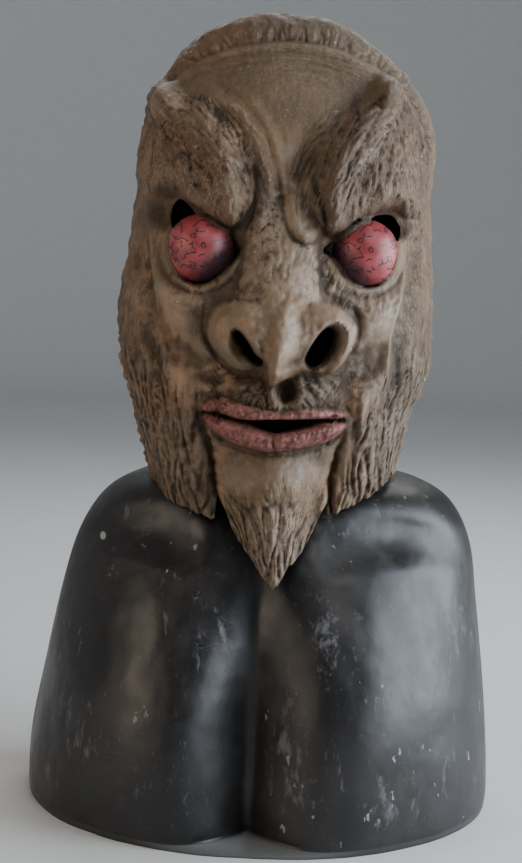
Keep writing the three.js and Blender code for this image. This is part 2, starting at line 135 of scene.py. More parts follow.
lens = bpy.data.cameras.new("camera")
lens.sensor_width = SENSOR
lens.lens = LENS_PIXELS / PICTURE_HEIGHT * SENSOR
camera = add_object("camera", lens)
placed = Matrix((to_right, to_top, -ahead)).transposed().to_4x4()
placed.translation = Vector(CAMERA_PLACE) * MM
camera.matrix_world = placed
bpy.context.scene.camera = camera
print(f"lens {lens.lens:.1f} mm")

# %% Lamps
# name, place, size, watts, tint
LAMPS = [
    ("key lamp", (1.7, -0.2, 0.62), (1.9, 1.7), 100, (0.79, 0.89, 1.0)),
    ("top lamp", (0.5, -0.9, 1.7), (0.9, 0.9), 7, (1, 1, 1)),
    ("fill lamp", (-1.4, -0.9, 0.7), (0.8, 1.2), 10, (1.0, 0.82, 0.64)),
    ("back lamp", (0.1, 1.3, 1.4), (1.4, 0.7), 9, (1, 1, 1)),
]
FACE_MIDDLE = Vector((0, -0.03, 0.36))
for name, place, size, watts, tint in LAMPS:
    lamp = bpy.data.lights.new(name, "AREA")
    lamp.shape = "RECTANGLE"
    lamp.size, lamp.size_y = size
    lamp.energy = watts
    lamp.color = tint
    stand = add_object(name, lamp)
    stand.location = place
    stand.rotation_euler = (FACE_MIDDLE - Vector(place)).to_track_quat("-Z", "Y").to_euler()

world = bpy.data.worlds.new("studio")
bpy.context.scene.world = world
world.use_nodes = True
studio = world.node_tree.nodes["Background"]
studio.inputs["Color"].default_value = (0.82, 0.84, 0.88, 1)
studio.inputs["Strength"].default_value = 0.24

# %% Floor
FLOOR_RADIUS = 3.2
COVE_RADIUS = 1.6
WALL_TOP = 3.2
FLOOR_STEPS = 96
WELD = 1e-5
bends = [math.radians(a) for a in range(0, 91, 6)]
profile = [(0, 0)]
profile += [(FLOOR_RADIUS + COVE_RADIUS * math.sin(a), COVE_RADIUS * (1 - math.cos(a))) for a in bends]
profile += [(FLOOR_RADIUS + COVE_RADIUS, WALL_TOP)]
shape = bmesh.new()
spots = [shape.verts.new((far, 0, high)) for far, high in profile]
lines = [shape.edges.new(pair) for pair in zip(spots, spots[1:])]
bmesh.ops.spin(
    shape, geom=spots + lines, cent=(0, 0, 0), axis=(0, 0, 1), angle=2 * math.pi, steps=FLOOR_STEPS,
    use_merge=True)
bmesh.ops.remove_doubles(shape, verts=shape.verts, dist=WELD)
bmesh.ops.recalc_face_normals(shape, faces=shape.faces)
floor = to_object("floor", shape)

# %% [markdown]
# ## Shader maths
#
# A finish is a sum of patterns. Written as Python expressions they stay readable: one small class wraps a
# socket, and an expression such as `1 - mask` adds the Math node that works it out.

# %% A paint shop for procedural materials


class Value:
    """One number that varies over a surface, with arithmetic that adds Math nodes."""

    def __init__(self, shop, socket):
        self.shop = shop
        self.socket = socket

    def math(self, operation, *others):
        return self.shop.node("ShaderNodeMath", {"operation": operation}, dict(enumerate((self, *others))))

    def __add__(self, other):
        return self.math("ADD", other)

    __radd__ = __add__

    def __mul__(self, other):
        return self.math("MULTIPLY", other)

    def __sub__(self, other):
        return self.math("SUBTRACT", other)

    def __rsub__(self, other):
        return self.shop.node("ShaderNodeMath", {"operation": "SUBTRACT"}, {0: other, 1: self})

    def __pow__(self, power):
        return self.math("POWER", power)

    def __abs__(self):
        return self.math("ABSOLUTE")

    def most(self, other):
        return self.math("MAXIMUM", other)

    def other(self, output):
        """Another output of the node that this value comes from."""
        return Value(self.shop, self.socket.node.outputs[output])

    def from_to(self, low, high, start=0.0, end=1.0):
        """Reads the range low to high as start to end, and holds it there beyond."""
        return self.shop.node("ShaderNodeMapRange", {"interpolation_type": "SMOOTHSTEP"}, {
            "Value": self, "From Min": low, "From Max": high, "To Min": start, "To Max": end,
        }, "Result")


class Finish:
    """A material under construction."""

    def __init__(self, name, **settings):
        self.material = bpy.data.materials.new(name)
        self.material.use_nodes = True
        self.tree = self.material.node_tree
        self.shader = self.tree.nodes["Principled BSDF"]
        self.set(**settings)

    def fill(self, socket, value):
        if isinstance(value, Value):
            self.tree.links.new(value.socket, socket)
        elif isinstance(value, tuple) and len(value) == 3 and socket.type == "RGBA":
            socket.default_value = (*value, 1)
        else:
            socket.default_value = value

    def node(self, kind, settings, inputs, output=0):
        """Adds a node: its settings first, then the values or links of its sockets."""
        made = self.tree.nodes.new(kind)
        for name, value in settings.items():
            setattr(made, name, value)
        for key, value in inputs.items():
            self.fill(made.inputs[key], value)
        return Value(self, made.outputs[output])

    def attribute(self, name, output="Fac"):
        return self.node("ShaderNodeAttribute", {"attribute_name": name}, {}, output)

    def place(self):
        return self.node("ShaderNodeTexCoord", {}, {}, "Object")

    def vector(self, operation, *others):
        output = "Value" if operation in ("DOT_PRODUCT", "LENGTH") else "Vector"
        return self.node("ShaderNodeVectorMath", {"operation": operation}, dict(enumerate(others)), output)

    def noise(self, where, scale, detail=2.0, roughness=0.5, stretch=None, distortion=0.0):
        if stretch:
            where = self.vector("MULTIPLY", where, stretch)
        return self.node("ShaderNodeTexNoise", {}, {
            "Vector": where, "Scale": scale, "Detail": detail, "Roughness": roughness,
            "Distortion": distortion,
        })

    def mix(self, share, below, above):
        """Colour above over colour below, by a share from 0 to 1."""
        inputs = {"Factor": share, 6: below, 7: above}
        return self.node("ShaderNodeMix", {"data_type": "RGBA"}, inputs, 2)

    def bump(self, height, distance, strength):
        return self.node("ShaderNodeBump", {}, {"Height": height, "Distance": distance, "Strength": strength})

    def set(self, **sockets):
        for name, value in sockets.items():
            self.fill(self.shader.inputs[name.replace("_", " ")], value)
        return self.material


# %% Floor finish
paper = Finish("pale floor", Roughness=0.7)
speck = paper.noise(paper.place(), 40, 3)
floor.data.materials.append(paper.set(
    Base_Color=paper.mix(speck, (0.62, 0.62, 0.61), (0.68, 0.68, 0.67)),
))

# %% [markdown]
# ## The mask: its plain form
#
# A sculptor starts a mask from a plain head and presses every fold into it. The same order works here. The
# plain head is a stack of level sections, each a rounded outline with its own half width, front and back.
# Between the measured levels a smooth curve gives the rest.

# %% Level sections of the head
# height, half width, front, back, middle y, middle x
MASK_LEVELS = [
    (601, 0, 0, 0, 12, 3),
    (598, 32, 26, 33, 12, 2),
    (587, 58, 46, 60, 12, 1),
    (566, 83, 60, 80, 12, 4),
    (540, 101, 74, 96, 12, 7),
    (505, 112, 90, 106, 11, 7),
    (465, 112, 100, 108, 10, 5),
    (425, 115, 107, 106, 9, 4),
    (380, 119, 112, 101, 7, 2),
    (340, 117, 113, 94, 6, 3),
    (305, 106, 112, 86, 5, 2),
    (275, 98, 108, 81, 4, 2),
    (250, 91, 110, 80, 3, 3),
    (185, 60, 114, 70, 3, 3),
]


def smooth_step(value, low, high):
    t = np.clip((value - low) / (high - low), 0, 1)
    return t * t * (3 - 2 * t)


def blend(a, b, share):
    return a + (b - a) * share


def curve_through(knots, step=0.02):
    """Samples a smooth curve through knots of (place, value, value...)."""
    k = np.array(knots, float)
    last = len(k) - 1
    slopes = [(k[min(i + 1, last)] - k[max(i - 1, 0)])[1:] / (k[min(i + 1, last), 0] - k[max(i - 1, 0), 0])
              for i in range(last + 1)]
    places = np.arange(k[0, 0], k[last, 0] + step / 2, step)
    values = []
    for place in places:
        i = int(np.clip(np.searchsorted(k[:, 0], place) - 1, 0, last - 1))
        span = k[i + 1, 0] - k[i, 0]
        u = (place - k[i, 0]) / span
        values.append(
            (2 * u**3 - 3 * u**2 + 1) * k[i, 1:] + (u**3 - 2 * u**2 + u) * span * slopes[i]
            + (3 * u**2 - 2 * u**3) * k[i + 1, 1:] + (u**3 - u**2) * span * slopes[i + 1])
    return places, np.array(values)


def smooth_levels(levels):
    """Numbers the levels of a form from 0, and samples a smooth curve through them."""
    return curve_through([(i, *level) for i, level in enumerate(levels)])


HEAD_PLACES, HEAD_SECTIONS = smooth_levels(MASK_LEVELS)
BACK_ROUNDNESS = 2.1


def section(places, sections, level, turn, flatness):
    """Points at levels and turns. A turn runs from -1 at the back, over 0 at the front, to 1 at the back."""
    height, half, front, back, mid_y, mid_x = (np.interp(level, places, sections[:, i]) for i in range(6))
    side = np.sin(turn * np.pi)
    is_ahead = np.cos(turn * np.pi) > 0
    power = np.where(is_ahead, flatness, BACK_ROUNDNESS)
    depth = np.maximum(0, 1 - np.abs(side) ** power) ** (1 / power)
    return np.stack([mid_x + half * side, mid_y + np.where(is_ahead, -front, back) * depth, height], axis=-1)


# %% [markdown]
# ## A noise in space
#
# Nothing that is modelled by hand is quite regular. A smooth noise gives lumps, wavers and strands, and it
# is worked out for all points at once.

# %% A smooth noise in space, for all points at once
RANDOM = np.random.default_rng(11)
TILE = 64
NOISE_START = 31.7
NOISE_GAIN = 1.7
DIRECTIONS = RANDOM.normal(size=(TILE, TILE, TILE, 3))
DIRECTIONS /= np.linalg.norm(DIRECTIONS, axis=-1, keepdims=True)


def grain(places, scale, offset=0.0):
    """Noise from about -1 to 1 whose lumps are about one scale wide."""
    p = places / scale + NOISE_START + offset
    cell = np.floor(p).astype(int)
    part = p - cell
    ease = part**3 * (part * (part * 6 - 15) + 10)
    total = np.zeros(len(p))
    for i in (0, 1):
        for j in (0, 1):
            for k in (0, 1):
                corner = np.array([i, j, k])
                index = (cell + corner) % TILE
                lean = DIRECTIONS[index[:, 0], index[:, 1], index[:, 2]]
                weight = np.prod(np.where(corner, ease, 1 - ease), axis=1)
                total += weight * np.sum(lean * (part - corner), axis=1)
    return NOISE_GAIN * total


# ## The mask: a sheet of vertices
#
# The skin starts as one flat grid. Its columns go once round the head, and lie closer together over the face.
# Its rows go down from the crown to the hem, which dips at the beard and the sideburns. The numbers of a grid
# point give its place on the head, so every fold can be worked out for all points at once.

# %% Grid and hem
COLUMNS = 292
ROWS = 304
HEM = [
    (-98, 272), (-93, 262), (-88, 248), (-84, 241), (-73, 238), (-57, 236), (-45, 233), (-42, 240),
    (-40, 247), (-37, 246), (-33, 238), (-30, 228), (-24, 217), (-18, 208), (-9, 198), (-2, 190), (4, 187),
    (10, 190), (16, 199), (22, 206), (29, 213), (35, 227), (39, 240), (42, 246), (45, 241), (47, 238),
    (60, 242), (74, 250), (88, 258), (100, 270),
]
BACK_HEM = 262
HEM_HALF = 91
FACE_SHARE = 0.69
WAY_ROUND = 330
MASK_ROUNDNESS = 2.3


def new_grid(columns, rows):
    """A flat grid from -1 to 1 as a bmesh, and the places of its points."""
    shape = bmesh.new()
    bmesh.ops.create_grid(shape, x_segments=columns, y_segments=rows, size=1)
    return shape, np.array([v.co for v in shape.verts])


def way_down(sections):
    """How far the side of a form has run from the top to each of its levels."""
    slant = np.hypot(np.diff(sections[:, 0]), np.diff(sections[:, 1]))
    return np.concatenate([[0], np.cumsum(slant)])


def drawn_in(share):
    """Moves columns, from -1 to 1, closer to the middle."""
    return share * (0.66 + 0.34 * share * share)


skin_shape, flat = new_grid(COLUMNS, ROWS)
row_index = np.rint((1 - flat[:, 1]) / 2 * ROWS)
column_index = np.rint((flat[:, 0] + 1) / 2 * COLUMNS)
order = np.argsort(row_index * (COLUMNS + 1) + column_index)

on_face = np.clip(flat[:, 0] / FACE_SHARE, -1, 1)
beyond = np.clip((np.abs(flat[:, 0]) - FACE_SHARE) / (1 - FACE_SHARE), 0, 1) * np.sign(flat[:, 0])
turn = 0.5 * drawn_in(on_face) + 0.5 * beyond
down = (1 - flat[:, 1]) / 2
down = blend(down, down ** 1.18, 0.75)

hem_x, hem_z = np.array(HEM, float).T
hem_height = np.interp(3 + HEM_HALF * np.sin(turn * np.pi), hem_x, hem_z)
along_hem = np.stack([turn * WAY_ROUND, turn * 0, turn * 0], axis=1)
hem_height = hem_height + 2.6 * grain(along_hem, 8) + 1.3 * grain(along_hem, 3.4, 5)
hem_height = blend(hem_height, BACK_HEM, np.clip((np.abs(turn) - 0.5) * 4, 0, 1))

travelled = way_down(HEAD_SECTIONS)
hem_level = np.interp(-hem_height, -HEAD_SECTIONS[:, 0], HEAD_PLACES)
level = np.interp(down * np.interp(hem_level, HEAD_PLACES, travelled), travelled, HEAD_PLACES)
plain = section(HEAD_PLACES, HEAD_SECTIONS, level, turn, MASK_ROUNDNESS)
x, y, z = plain.T
push = np.zeros(len(plain))
print(f"{len(plain)} points on the plain head")

# %% [markdown]
# ## Modelling strokes
#
# Each stroke pushes the clay forward or back: a ridge or a furrow along a line, an oval swelling, or a
# cushion that fills an outline. A roll is one-sided: it swells slowly on one side of its line and drops
# steeply on the other, as a fold of skin does. Places are x, z on the face, read off the photograph.

# %% Strokes


def curved(line, steps=4, closed=False):
    """A smooth line through the stations of a line."""
    p = np.array(line, float)
    if closed:
        p = np.vstack([p[-1], p, p[:2]])
    else:
        p = np.vstack([2 * p[0] - p[1], p, 2 * p[-1] - p[-2]])
    points = []
    for i in range(1, len(p) - 2):
        for u in np.arange(steps) / steps:
            points.append(0.5 * (
                2 * p[i] + (p[i + 1] - p[i - 1]) * u
                + (2 * p[i - 1] - 5 * p[i] + 4 * p[i + 1] - p[i + 2]) * u**2
                + (3 * p[i] - p[i - 1] - 3 * p[i + 1] + p[i + 2]) * u**3))
    points.append(p[-2])
    return points


def nearest(line, x, z):
    """Distance from x, z to a line, its side (1 is left of the line's run), and the line's values there."""
    distance = np.full(x.shape, np.inf)
    side = np.zeros(x.shape)
    values = [np.zeros(x.shape) for _ in line[0][2:]]
    for a, b in zip(line, line[1:]):
        dx, dz = b[0] - a[0], b[1] - a[1]
        u = np.clip(((x - a[0]) * dx + (z - a[1]) * dz) / (dx * dx + dz * dz + 1e-9), 0, 1)
        off_x, off_z = x - a[0] - u * dx, z - a[1] - u * dz
        d = np.hypot(off_x, off_z)
        is_nearer = d < distance
        distance = np.where(is_nearer, d, distance)
        side = np.where(is_nearer, np.where(dx * off_z - dz * off_x > 0, 1, -1), side)
        values = [np.where(is_nearer, a[2 + k] + u * (b[2 + k] - a[2 + k]), v) for k, v in enumerate(values)]
    return distance, side, values


def is_inside(outline, x, z):
    inside = np.zeros(x.shape, bool)
    for a, b in zip(outline, outline[1:]):
        if a[1] != b[1]:
            crosses = (a[1] > z) != (b[1] > z)
            inside ^= crosses & (x < a[0] + (z - a[1]) / (b[1] - a[1]) * (b[0] - a[0]))
    return inside


def depth_inside(outline, x, z):
    """Distance to an outline, positive inside it."""
    rounded = curved(outline, 3, closed=True)
    distance, _, _ = nearest(rounded, x, z)
    return np.where(is_inside(rounded, x, z), distance, -distance)


def depth_within(outlines, x, z):
    """Distance to the edge of what several outlines cover together, positive inside it."""
    return np.maximum.reduce([depth_inside(outline, x, z) for outline in outlines])


def bell(distance):
    return np.where(distance < 1, (1 - np.minimum(distance, 1) ** 2) ** 2, 0)


def ridge(x, z, line):
    """Stations are x, z, height, reach."""
    distance, _, (height, reach) = nearest(curved(line), x, z)
    return height * bell(distance / reach)


def crease(x, z, line, width):
    """A sharp-bottomed cut. Stations are x, z, depth."""
    distance, _, (depth,) = nearest(curved(line), x, z)
    return -depth * np.exp(-((distance / width) ** 1.3))


def roll(x, z, line, slow, steep):
    """A fold of skin whose steep side is left of the line's run. Stations are x, z, height."""
    distance, side, (height,) = nearest(curved(line), x, z)
    return height * bell(distance / np.where(side > 0, steep, slow))


def swelling(x, z, middle, size, height):
    return height * bell(np.hypot((x - middle[0]) / size[0], (z - middle[1]) / size[1]))


def cushion(x, z, outline, height, shoulder):
    risen = np.clip(depth_inside(outline, x, z) / shoulder, 0, 1)
    return height * risen * (2 - risen)


def press(strokes):
    """Adds up strokes on the mask. Each is its kind, its line, outline or middle, and its sizes."""
    return sum(kind(x, z, line, *sizes) for kind, line, *sizes in strokes)


# %% [markdown]
# ## Brows, horns and forehead
#
# Two heavy wedges frown over the eyes. Each ends outside in a blunt horn, drops steeply to the furrow
# beside the nose, and pinches up loose folds of skin there. A rolled hairline closes the forehead.

# %% Brows
BROWS = {
    "left": [
        (-95, 543), (-76, 539), (-60, 537), (-46, 529), (-35, 517), (-27, 505), (-21, 490), (-19, 474),
        (-21, 456), (-27, 442), (-34, 438), (-44, 443), (-55, 450), (-63, 456), (-71, 463), (-84, 466),
        (-104, 461), (-114, 482), (-107, 515),
    ],
    "right": [
        (79, 553), (70, 539), (58, 530), (46, 521), (36, 509), (27, 495), (21, 478), (20, 462), (26, 448),
        (35, 436), (46, 440), (57, 448), (68, 454), (82, 457), (94, 452), (110, 455), (117, 482), (110, 522),
        (94, 544),
    ],
}
CRESTS = {
    "left": [
        (-92, 540), (-79, 531), (-65, 521), (-50, 504), (-38, 485), (-31, 464), (-31, 441), (-34, 432),
    ],
    "right": [
        (78, 556), (74, 544), (68, 530), (57, 513), (45, 496), (38, 477), (35, 457), (37, 436), (39, 428),
    ],
}
BROW_SHOULDER = 15
BROW_SLOPE = (-7, 19)
waver_x = x + 2.2 * grain(plain, 15) + 0.8 * grain(plain, 6, 4)
waver_z = z + 2.2 * grain(plain, 15, 11) + 0.8 * grain(plain, 6, 17)
thickness = np.interp(z, [440, 470, 505, 530, 548], [25, 22, 15, 9, 5])
thickness = thickness * (1 - 0.75 * smooth_step(np.abs(x - 2), 78, 112))
is_upper = smooth_step(z, 448, 474)
for outline in BROWS.values():
    from_edge = depth_inside(outline, waver_x, waver_z)
    risen = np.clip(from_edge / BROW_SHOULDER, 0, 1)
    upper = smooth_step(from_edge, *BROW_SLOPE)
    push += thickness * blend(risen * (2 - risen), upper, is_upper)
push += press([
    (ridge, [(-90, 533, 8, 18), (-79, 528, 9, 20), (-65, 518, 10, 22), (-50, 502, 10, 21), (-39, 484, 8, 18),
     (-33, 464, 6, 14), (-33, 448, 4, 11)]),
    (ridge, [(77, 546, 7, 14), (70, 530, 8, 18), (58, 512, 9, 21), (47, 495, 9, 19), (40, 476, 7, 15),
     (37, 457, 5, 12), (39, 446, 4, 10)]),
    (ridge, [(-36, 445, 3, 8), (-48, 452, 4, 9), (-60, 461, 5, 10), (-76, 473, 4, 12), (-92, 476, 1, 12)]),
    (ridge, [(38, 442, 3, 8), (50, 450, 4, 9), (62, 457, 5, 10), (78, 464, 4, 12), (95, 464, 1, 12)]),
    (crease, [(66, 517, 1), (55, 499, 2.5), (45, 480, 2.5), (41, 462, 1)], 2.0),
])

# %% Folds between the brows
LOBE = [
    (-1, 484), (1, 468), (3, 452), (7, 440), (12, 433), (18, 430.5), (26, 433), (33, 441), (31, 453),
    (26, 469), (22, 486), (12, 494),
]
push += press([
    (roll, [(-60, 541, 2), (-51, 536, 4), (-34, 525, 6), (-20, 506, 7), (-12, 483, 8), (-10, 466, 7),
     (-14, 448, 3)], 12, 9),
    (crease, [(-38, 523, 0.5), (-27, 509, 1.2), (-20, 490, 1.6), (-17, 470, 2.4), (-19, 452, 3),
     (-25, 440, 2)], 2.4),
    (roll, [(-30, 538, 1), (-16, 522, 2.5), (-5, 502, 3.5), (-1, 482, 3.5), (-1, 468, 2)], 11, 7),
    (ridge, [(20, 512, -2, 16), (15, 494, -5, 13), (12, 480, -4, 10)]),
    (cushion, LOBE, 8 * (1 - smooth_step(z, 456, 488)), 8),
    (crease, [(-2, 484, 0.3), (0.5, 462, 1.5), (4, 446, 2.5), (10, 435, 3.2), (17, 430.5, 2.5), (27, 432, 2),
     (34, 439, 2)], 1.6),
    (crease, [(36, 512, 0.6), (26, 497, 1.4), (21, 480, 2), (25, 467, 3), (31, 452, 3.6), (35, 442, 2)], 2.4),
])

# %% Forehead and hairline
HAIRLINE = [
    (-92, 522), (-84, 540), (-74, 548), (-57, 560), (-32, 569), (1, 574), (34, 571), (56, 563), (76, 554),
    (92, 538), (104, 515),
]
hair_distance, hair_side, _ = nearest(curved(HAIRLINE), x, z)
from_hairline = hair_distance * hair_side
push += np.where(from_hairline < 0, 1.8 * bell(hair_distance / 5), 1.8 * bell(hair_distance / 3))
push += swelling(x, z, (4, 548), (60, 26), 3)
FOREHEAD_LINES = [
    [(-62, 551, 0.5), (-30, 558, 1.2), (4, 561, 1.4), (36, 558, 1.0), (60, 549, 0.4)],
    [(-46, 548, 0.4), (-20, 552, 0.9), (10, 555, 1.1), (40, 551, 0.6)],
    [(-66, 556, 0.4), (-34, 564, 1.0), (0, 568, 1.2), (34, 565, 1.0), (60, 556, 0.4)],
    [(-20, 545, 0.3), (8, 547, 0.7), (34, 543, 0.4)],
]
for line in FOREHEAD_LINES:
    push += crease(x, z, line, 1.6)

# %% [markdown]
# ## Eye sockets
#
# Each ball bulges out of a deep socket. The lower lid is a thin rim, with two bags of slack skin under it.
# The nose side of the socket stays dark and open, and above the outer corner a gap lets the wearer see out.

# %% Sockets, lids and bags
EYE_OPENINGS = {
    "left": [
        (-79.5, 426), (-78, 436), (-74, 444), (-67, 452), (-59, 451), (-50, 446.5), (-41, 441), (-33, 436.5),
        (-29, 429), (-26.5, 424), (-30, 417), (-36, 409), (-45, 402), (-55, 398.5), (-65, 401), (-73, 408),
        (-78, 417),
    ],
    "right": [
        (86.5, 430), (84, 439), (78, 446), (70, 450), (61, 448), (53, 443), (46, 437.5), (39, 433),
        (33, 429), (32, 425), (38, 422), (44, 415), (51, 406), (60, 401), (69, 401), (79, 407), (85, 418),
    ],
}
# gap to the ball and depth of each wrinkle below an eye, and its course: angle and share of the depth
BAG_LINES = [(8, 1.2), (12, 0.9), (17, 1.1), (22, 0.7)]
BAG_COURSE = [(-0.9, 0), (-0.4, 0.7), (0.2, 1), (0.8, 0.8), (1.4, 0)]


def from_eye(name, stations):
    """Stations measured outwards and up from the middle of an eye, as places on the face."""
    ex, _, ez, _ = EYES[name]
    return [(ex + SIDES[name] * out, ez + up, *rest) for out, up, *rest in stations]


for name, (ex, _, ez, er) in EYES.items():
    s = SIDES[name]
    push += press([
        (swelling, (ex + s, ez + 2), (39, 38), -20),
        (swelling, (ex + s * 22, ez + 24), (21, 18), -9),
        (ridge, from_eye(name, [(-25, -8, 3, 6), (-17, -20, 5, 6.5), (-1, -25.5, 6, 6.5), (17, -19, 6, 6.5),
                                (25, -5, 5, 6.5), (26, 8, 3, 6)])),
        (ridge, from_eye(name, [(-24, -28, 2, 9), (-2, -38, 3.5, 11), (24, -30, 3, 11), (34, -12, 2, 9)])),
        (ridge, from_eye(name, [(-10, -52, 1, 9), (14, -48, 2.5, 12), (34, -34, 2, 11)])),
    ])
    for away, depth in BAG_LINES:
        far = er + away
        course = [(far * math.sin(a), -far * math.cos(a), depth * share) for a, share in BAG_COURSE]
        push += crease(x, z, from_eye(name, course), 1.4)

# %% [markdown]
# ## Nose
#
# The nose grows from a broad root into a hooked tip between two unlike wings: the left one is a rolled
# comma round a slit, and the right one is a ring round a wide hole.

# %% Nose
NOSE = [
    (4, 474), (-16, 456), (-25, 432), (-26, 412), (-32, 394), (-47, 383), (-49, 366), (-40, 350), (-28, 341),
    (-12, 339), (-3, 331), (8, 334), (20, 341), (42, 341), (54, 356), (57, 374), (46, 388), (34, 396),
    (29, 414), (29, 432), (22, 456),
]
rising = blend(29, 0, smooth_step(z, 362, 468))
push += press([
    (cushion, NOSE, rising, 11),
    (ridge, [(3, 462, 1, 20), (4, 446, 6, 26), (3, 412, 10, 28), (0, 386, 14, 32), (-1, 366, 19, 32),
     (-1, 353, 21, 21), (0, 345, 15, 11)]),
    (ridge, [(6, 384, 2, 12), (4, 366, 4, 10), (1, 352, 5, 7), (-1, 343, 6, 5)]),
    (cushion, [(-10, 388), (-24, 391), (-38, 388), (-47, 379), (-48, 364), (-40, 351), (-28, 342), (-14, 342),
     (-10, 352), (-6, 362), (-4, 376)], 9 * smooth_step(-x, 4, 24), 10),
    (cushion, [(14, 386), (34, 391), (48, 387), (58, 374), (54, 358), (45, 343), (34, 339), (24, 344),
     (14, 354), (8, 370)], 8 * smooth_step(x, 12, 32), 9),
    (cushion, [(-31, 369), (-27, 371.5), (-20, 366), (-12, 355), (-6, 350), (-5, 342), (-7, 335), (-14, 340),
     (-22, 345), (-29, 352), (-33, 361)], -8, 6),
    (cushion, [(19.5, 351), (22.5, 359), (27, 367), (33, 374), (41, 378), (48, 374), (49.5, 365), (47, 355),
     (42, 345), (36, 340), (30.5, 343.5), (29, 347), (24, 346)], -14, 8),
    (crease, [(-11, 364, 1), (-8, 352, 4), (-5, 343, 6), (-5, 334, 4)], 1.8),
    (crease, [(-50, 386, 2), (-50, 368, 3), (-43, 352, 3.5), (-30, 340, 4), (-16, 336, 3)], 2.2),
    (crease, [(54, 388, 1), (59, 377, 3.5), (58, 366, 2), (50, 350, 2.5), (40, 338, 2)], 1.8),
    (ridge, [(-14, 396, -2, 9), (-34, 398, -3, 9), (-46, 390, -2, 8)]),
])

# %% Cheeks
push += press([
    (ridge, [(-99, 404, 3, 10), (-93, 378, 5, 9), (-84, 356, 5, 9), (-77, 338, 3, 9)]),
    (ridge, [(-92, 398, -2, 9), (-84, 378, -4, 10), (-76, 358, -3, 9)]),
    (ridge, [(-80, 396, 4, 13), (-70, 378, 7, 15), (-60, 362, 5, 12), (-50, 352, 3, 8)]),
    (ridge, [(99, 408, 3, 12), (94, 384, 5, 12), (88, 360, 5, 12), (83, 338, 4, 12)]),
    (ridge, [(86, 388, 5, 18), (70, 374, 7, 18), (58, 364, 5, 12)]),
    (ridge, [(-78, 352, -3, 12), (-66, 350, -6, 14), (-54, 344, -6, 13), (-40, 334, -4, 10)]),
    (crease, [(-68, 366, 1), (-69, 359, 4), (-68, 351, 1)], 1.8),
    (ridge, [(78, 354, -3, 12), (66, 348, -6, 14), (52, 340, -6, 13), (42, 332, -3, 10)]),
    (ridge, [(-70, 336, 2, 10), (-60, 318, 4, 11), (-60, 302, 3, 10)]),
    (ridge, [(72, 332, 3, 11), (64, 318, 4, 11), (62, 302, 3, 10)]),
])

# %% [markdown]
# ## Mouth
#
# Full cracked lips part in a thin slit. A pit lies under the nose, and the lower lip is split in the
# middle.

# %% Lips
UPPER_LIP = [
    (-52, 313), (-46, 319), (-36, 322), (-28, 320), (-18, 317), (-8, 315), (2, 313), (10, 314), (24, 316),
    (38, 316), (48, 314), (53, 310), (44, 307.5), (30, 307), (14, 306.5), (0, 306), (-14, 305), (-26, 306),
    (-36, 308.5), (-46, 309.5),
]
LOWER_LIP = [
    (-49, 308), (-38, 309), (-28, 306), (-18, 303), (-6, 300.5), (2, 299), (12, 300.5), (24, 303), (34, 306),
    (46, 307), (52, 303), (47, 296), (38, 291), (26, 288), (12, 285.5), (0, 284), (-12, 284.5), (-26, 288),
    (-38, 294), (-46, 301),
]
MOUTH = [
    (-28, 305.8), (-14, 307), (0, 308.2), (12, 308.4), (24, 308.6), (40, 308.4), (30, 302.8), (19, 299.4),
    (9, 296.8), (1, 295.4), (-7, 297.4), (-17, 301),
]
push += press([
    (swelling, (2, 308), (68, 46), 9),
    (cushion, UPPER_LIP, 8.5, 4.6),
    (cushion, LOWER_LIP, 11.5, 6),
    (crease, [(-50, 309.5, 4), (-38, 309, 5), (-26, 306, 5), (-14, 304, 4), (2, 302, 4), (16, 303.5, 4),
     (30, 306, 5), (42, 307.3, 5), (51, 307.5, 3)], 1.3),
    (crease, [(-0.6, 301, 5), (0.6, 292, 4.5), (2.0, 284, 2)], 1.5),
    (crease, [(-46, 303, 1), (-40, 293, 3), (-26, 286, 3.2), (-6, 282.5, 3), (10, 283, 3), (28, 286, 3),
     (42, 291, 2.6), (50, 299, 1)], 1.8),
    (crease, [(-54, 322, 1), (-53, 314, 2), (-54, 306, 3.4), (-57, 299, 2)], 1.7),
    (crease, [(50, 318, 1.5), (56, 312, 2.6), (58, 304, 2), (56, 297, 1)], 1.5),
    (ridge, [(-57, 322, 1, 5), (-59, 311, 3, 6), (-61, 300, 1, 5)]),
    (cushion, [(1, 331), (4, 336), (9, 338), (15, 334), (17, 328), (15, 321), (9, 318), (3, 321)], -8, 4.5),
    (ridge, [(-1, 338, 3, 4), (-2, 328, 4, 4), (0, 318, 2.5, 4)]),
    (ridge, [(18, 336, 2, 4), (20, 327, 3.5, 4), (17, 318, 2, 4)]),
])

# %% [markdown]
# ## Chin, goatee and sideburns
#
# The smooth chin ends in a pointed goatee. A deep cleft on each side parts it from the ragged sideburns.

# %% Beard
push += press([
    (swelling, (1, 266), (40, 24), 8),
    (ridge, [(0, 256, 9, 38), (2, 232, 14, 34), (5, 205, 14, 26), (5, 188, 12, 18)]),
    (swelling, (-66, 286), (28, 52), 9),
    (swelling, (70, 292), (28, 50), 9),
])
ragged_x = x + 1.6 * grain(plain, 7, 2) + 0.8 * grain(plain, 3.2, 8)
CLEFTS = [
    [(-51, 303, 3), (-46, 289, 10), (-42, 272, 13), (-39, 253, 14), (-38, 238, 13)],
    [(51, 297, 2), (47, 281, 9), (43.5, 262, 13), (44, 249, 14), (45, 236, 12)],
]
for line in CLEFTS:
    push += crease(ragged_x, z, line, 2.3)

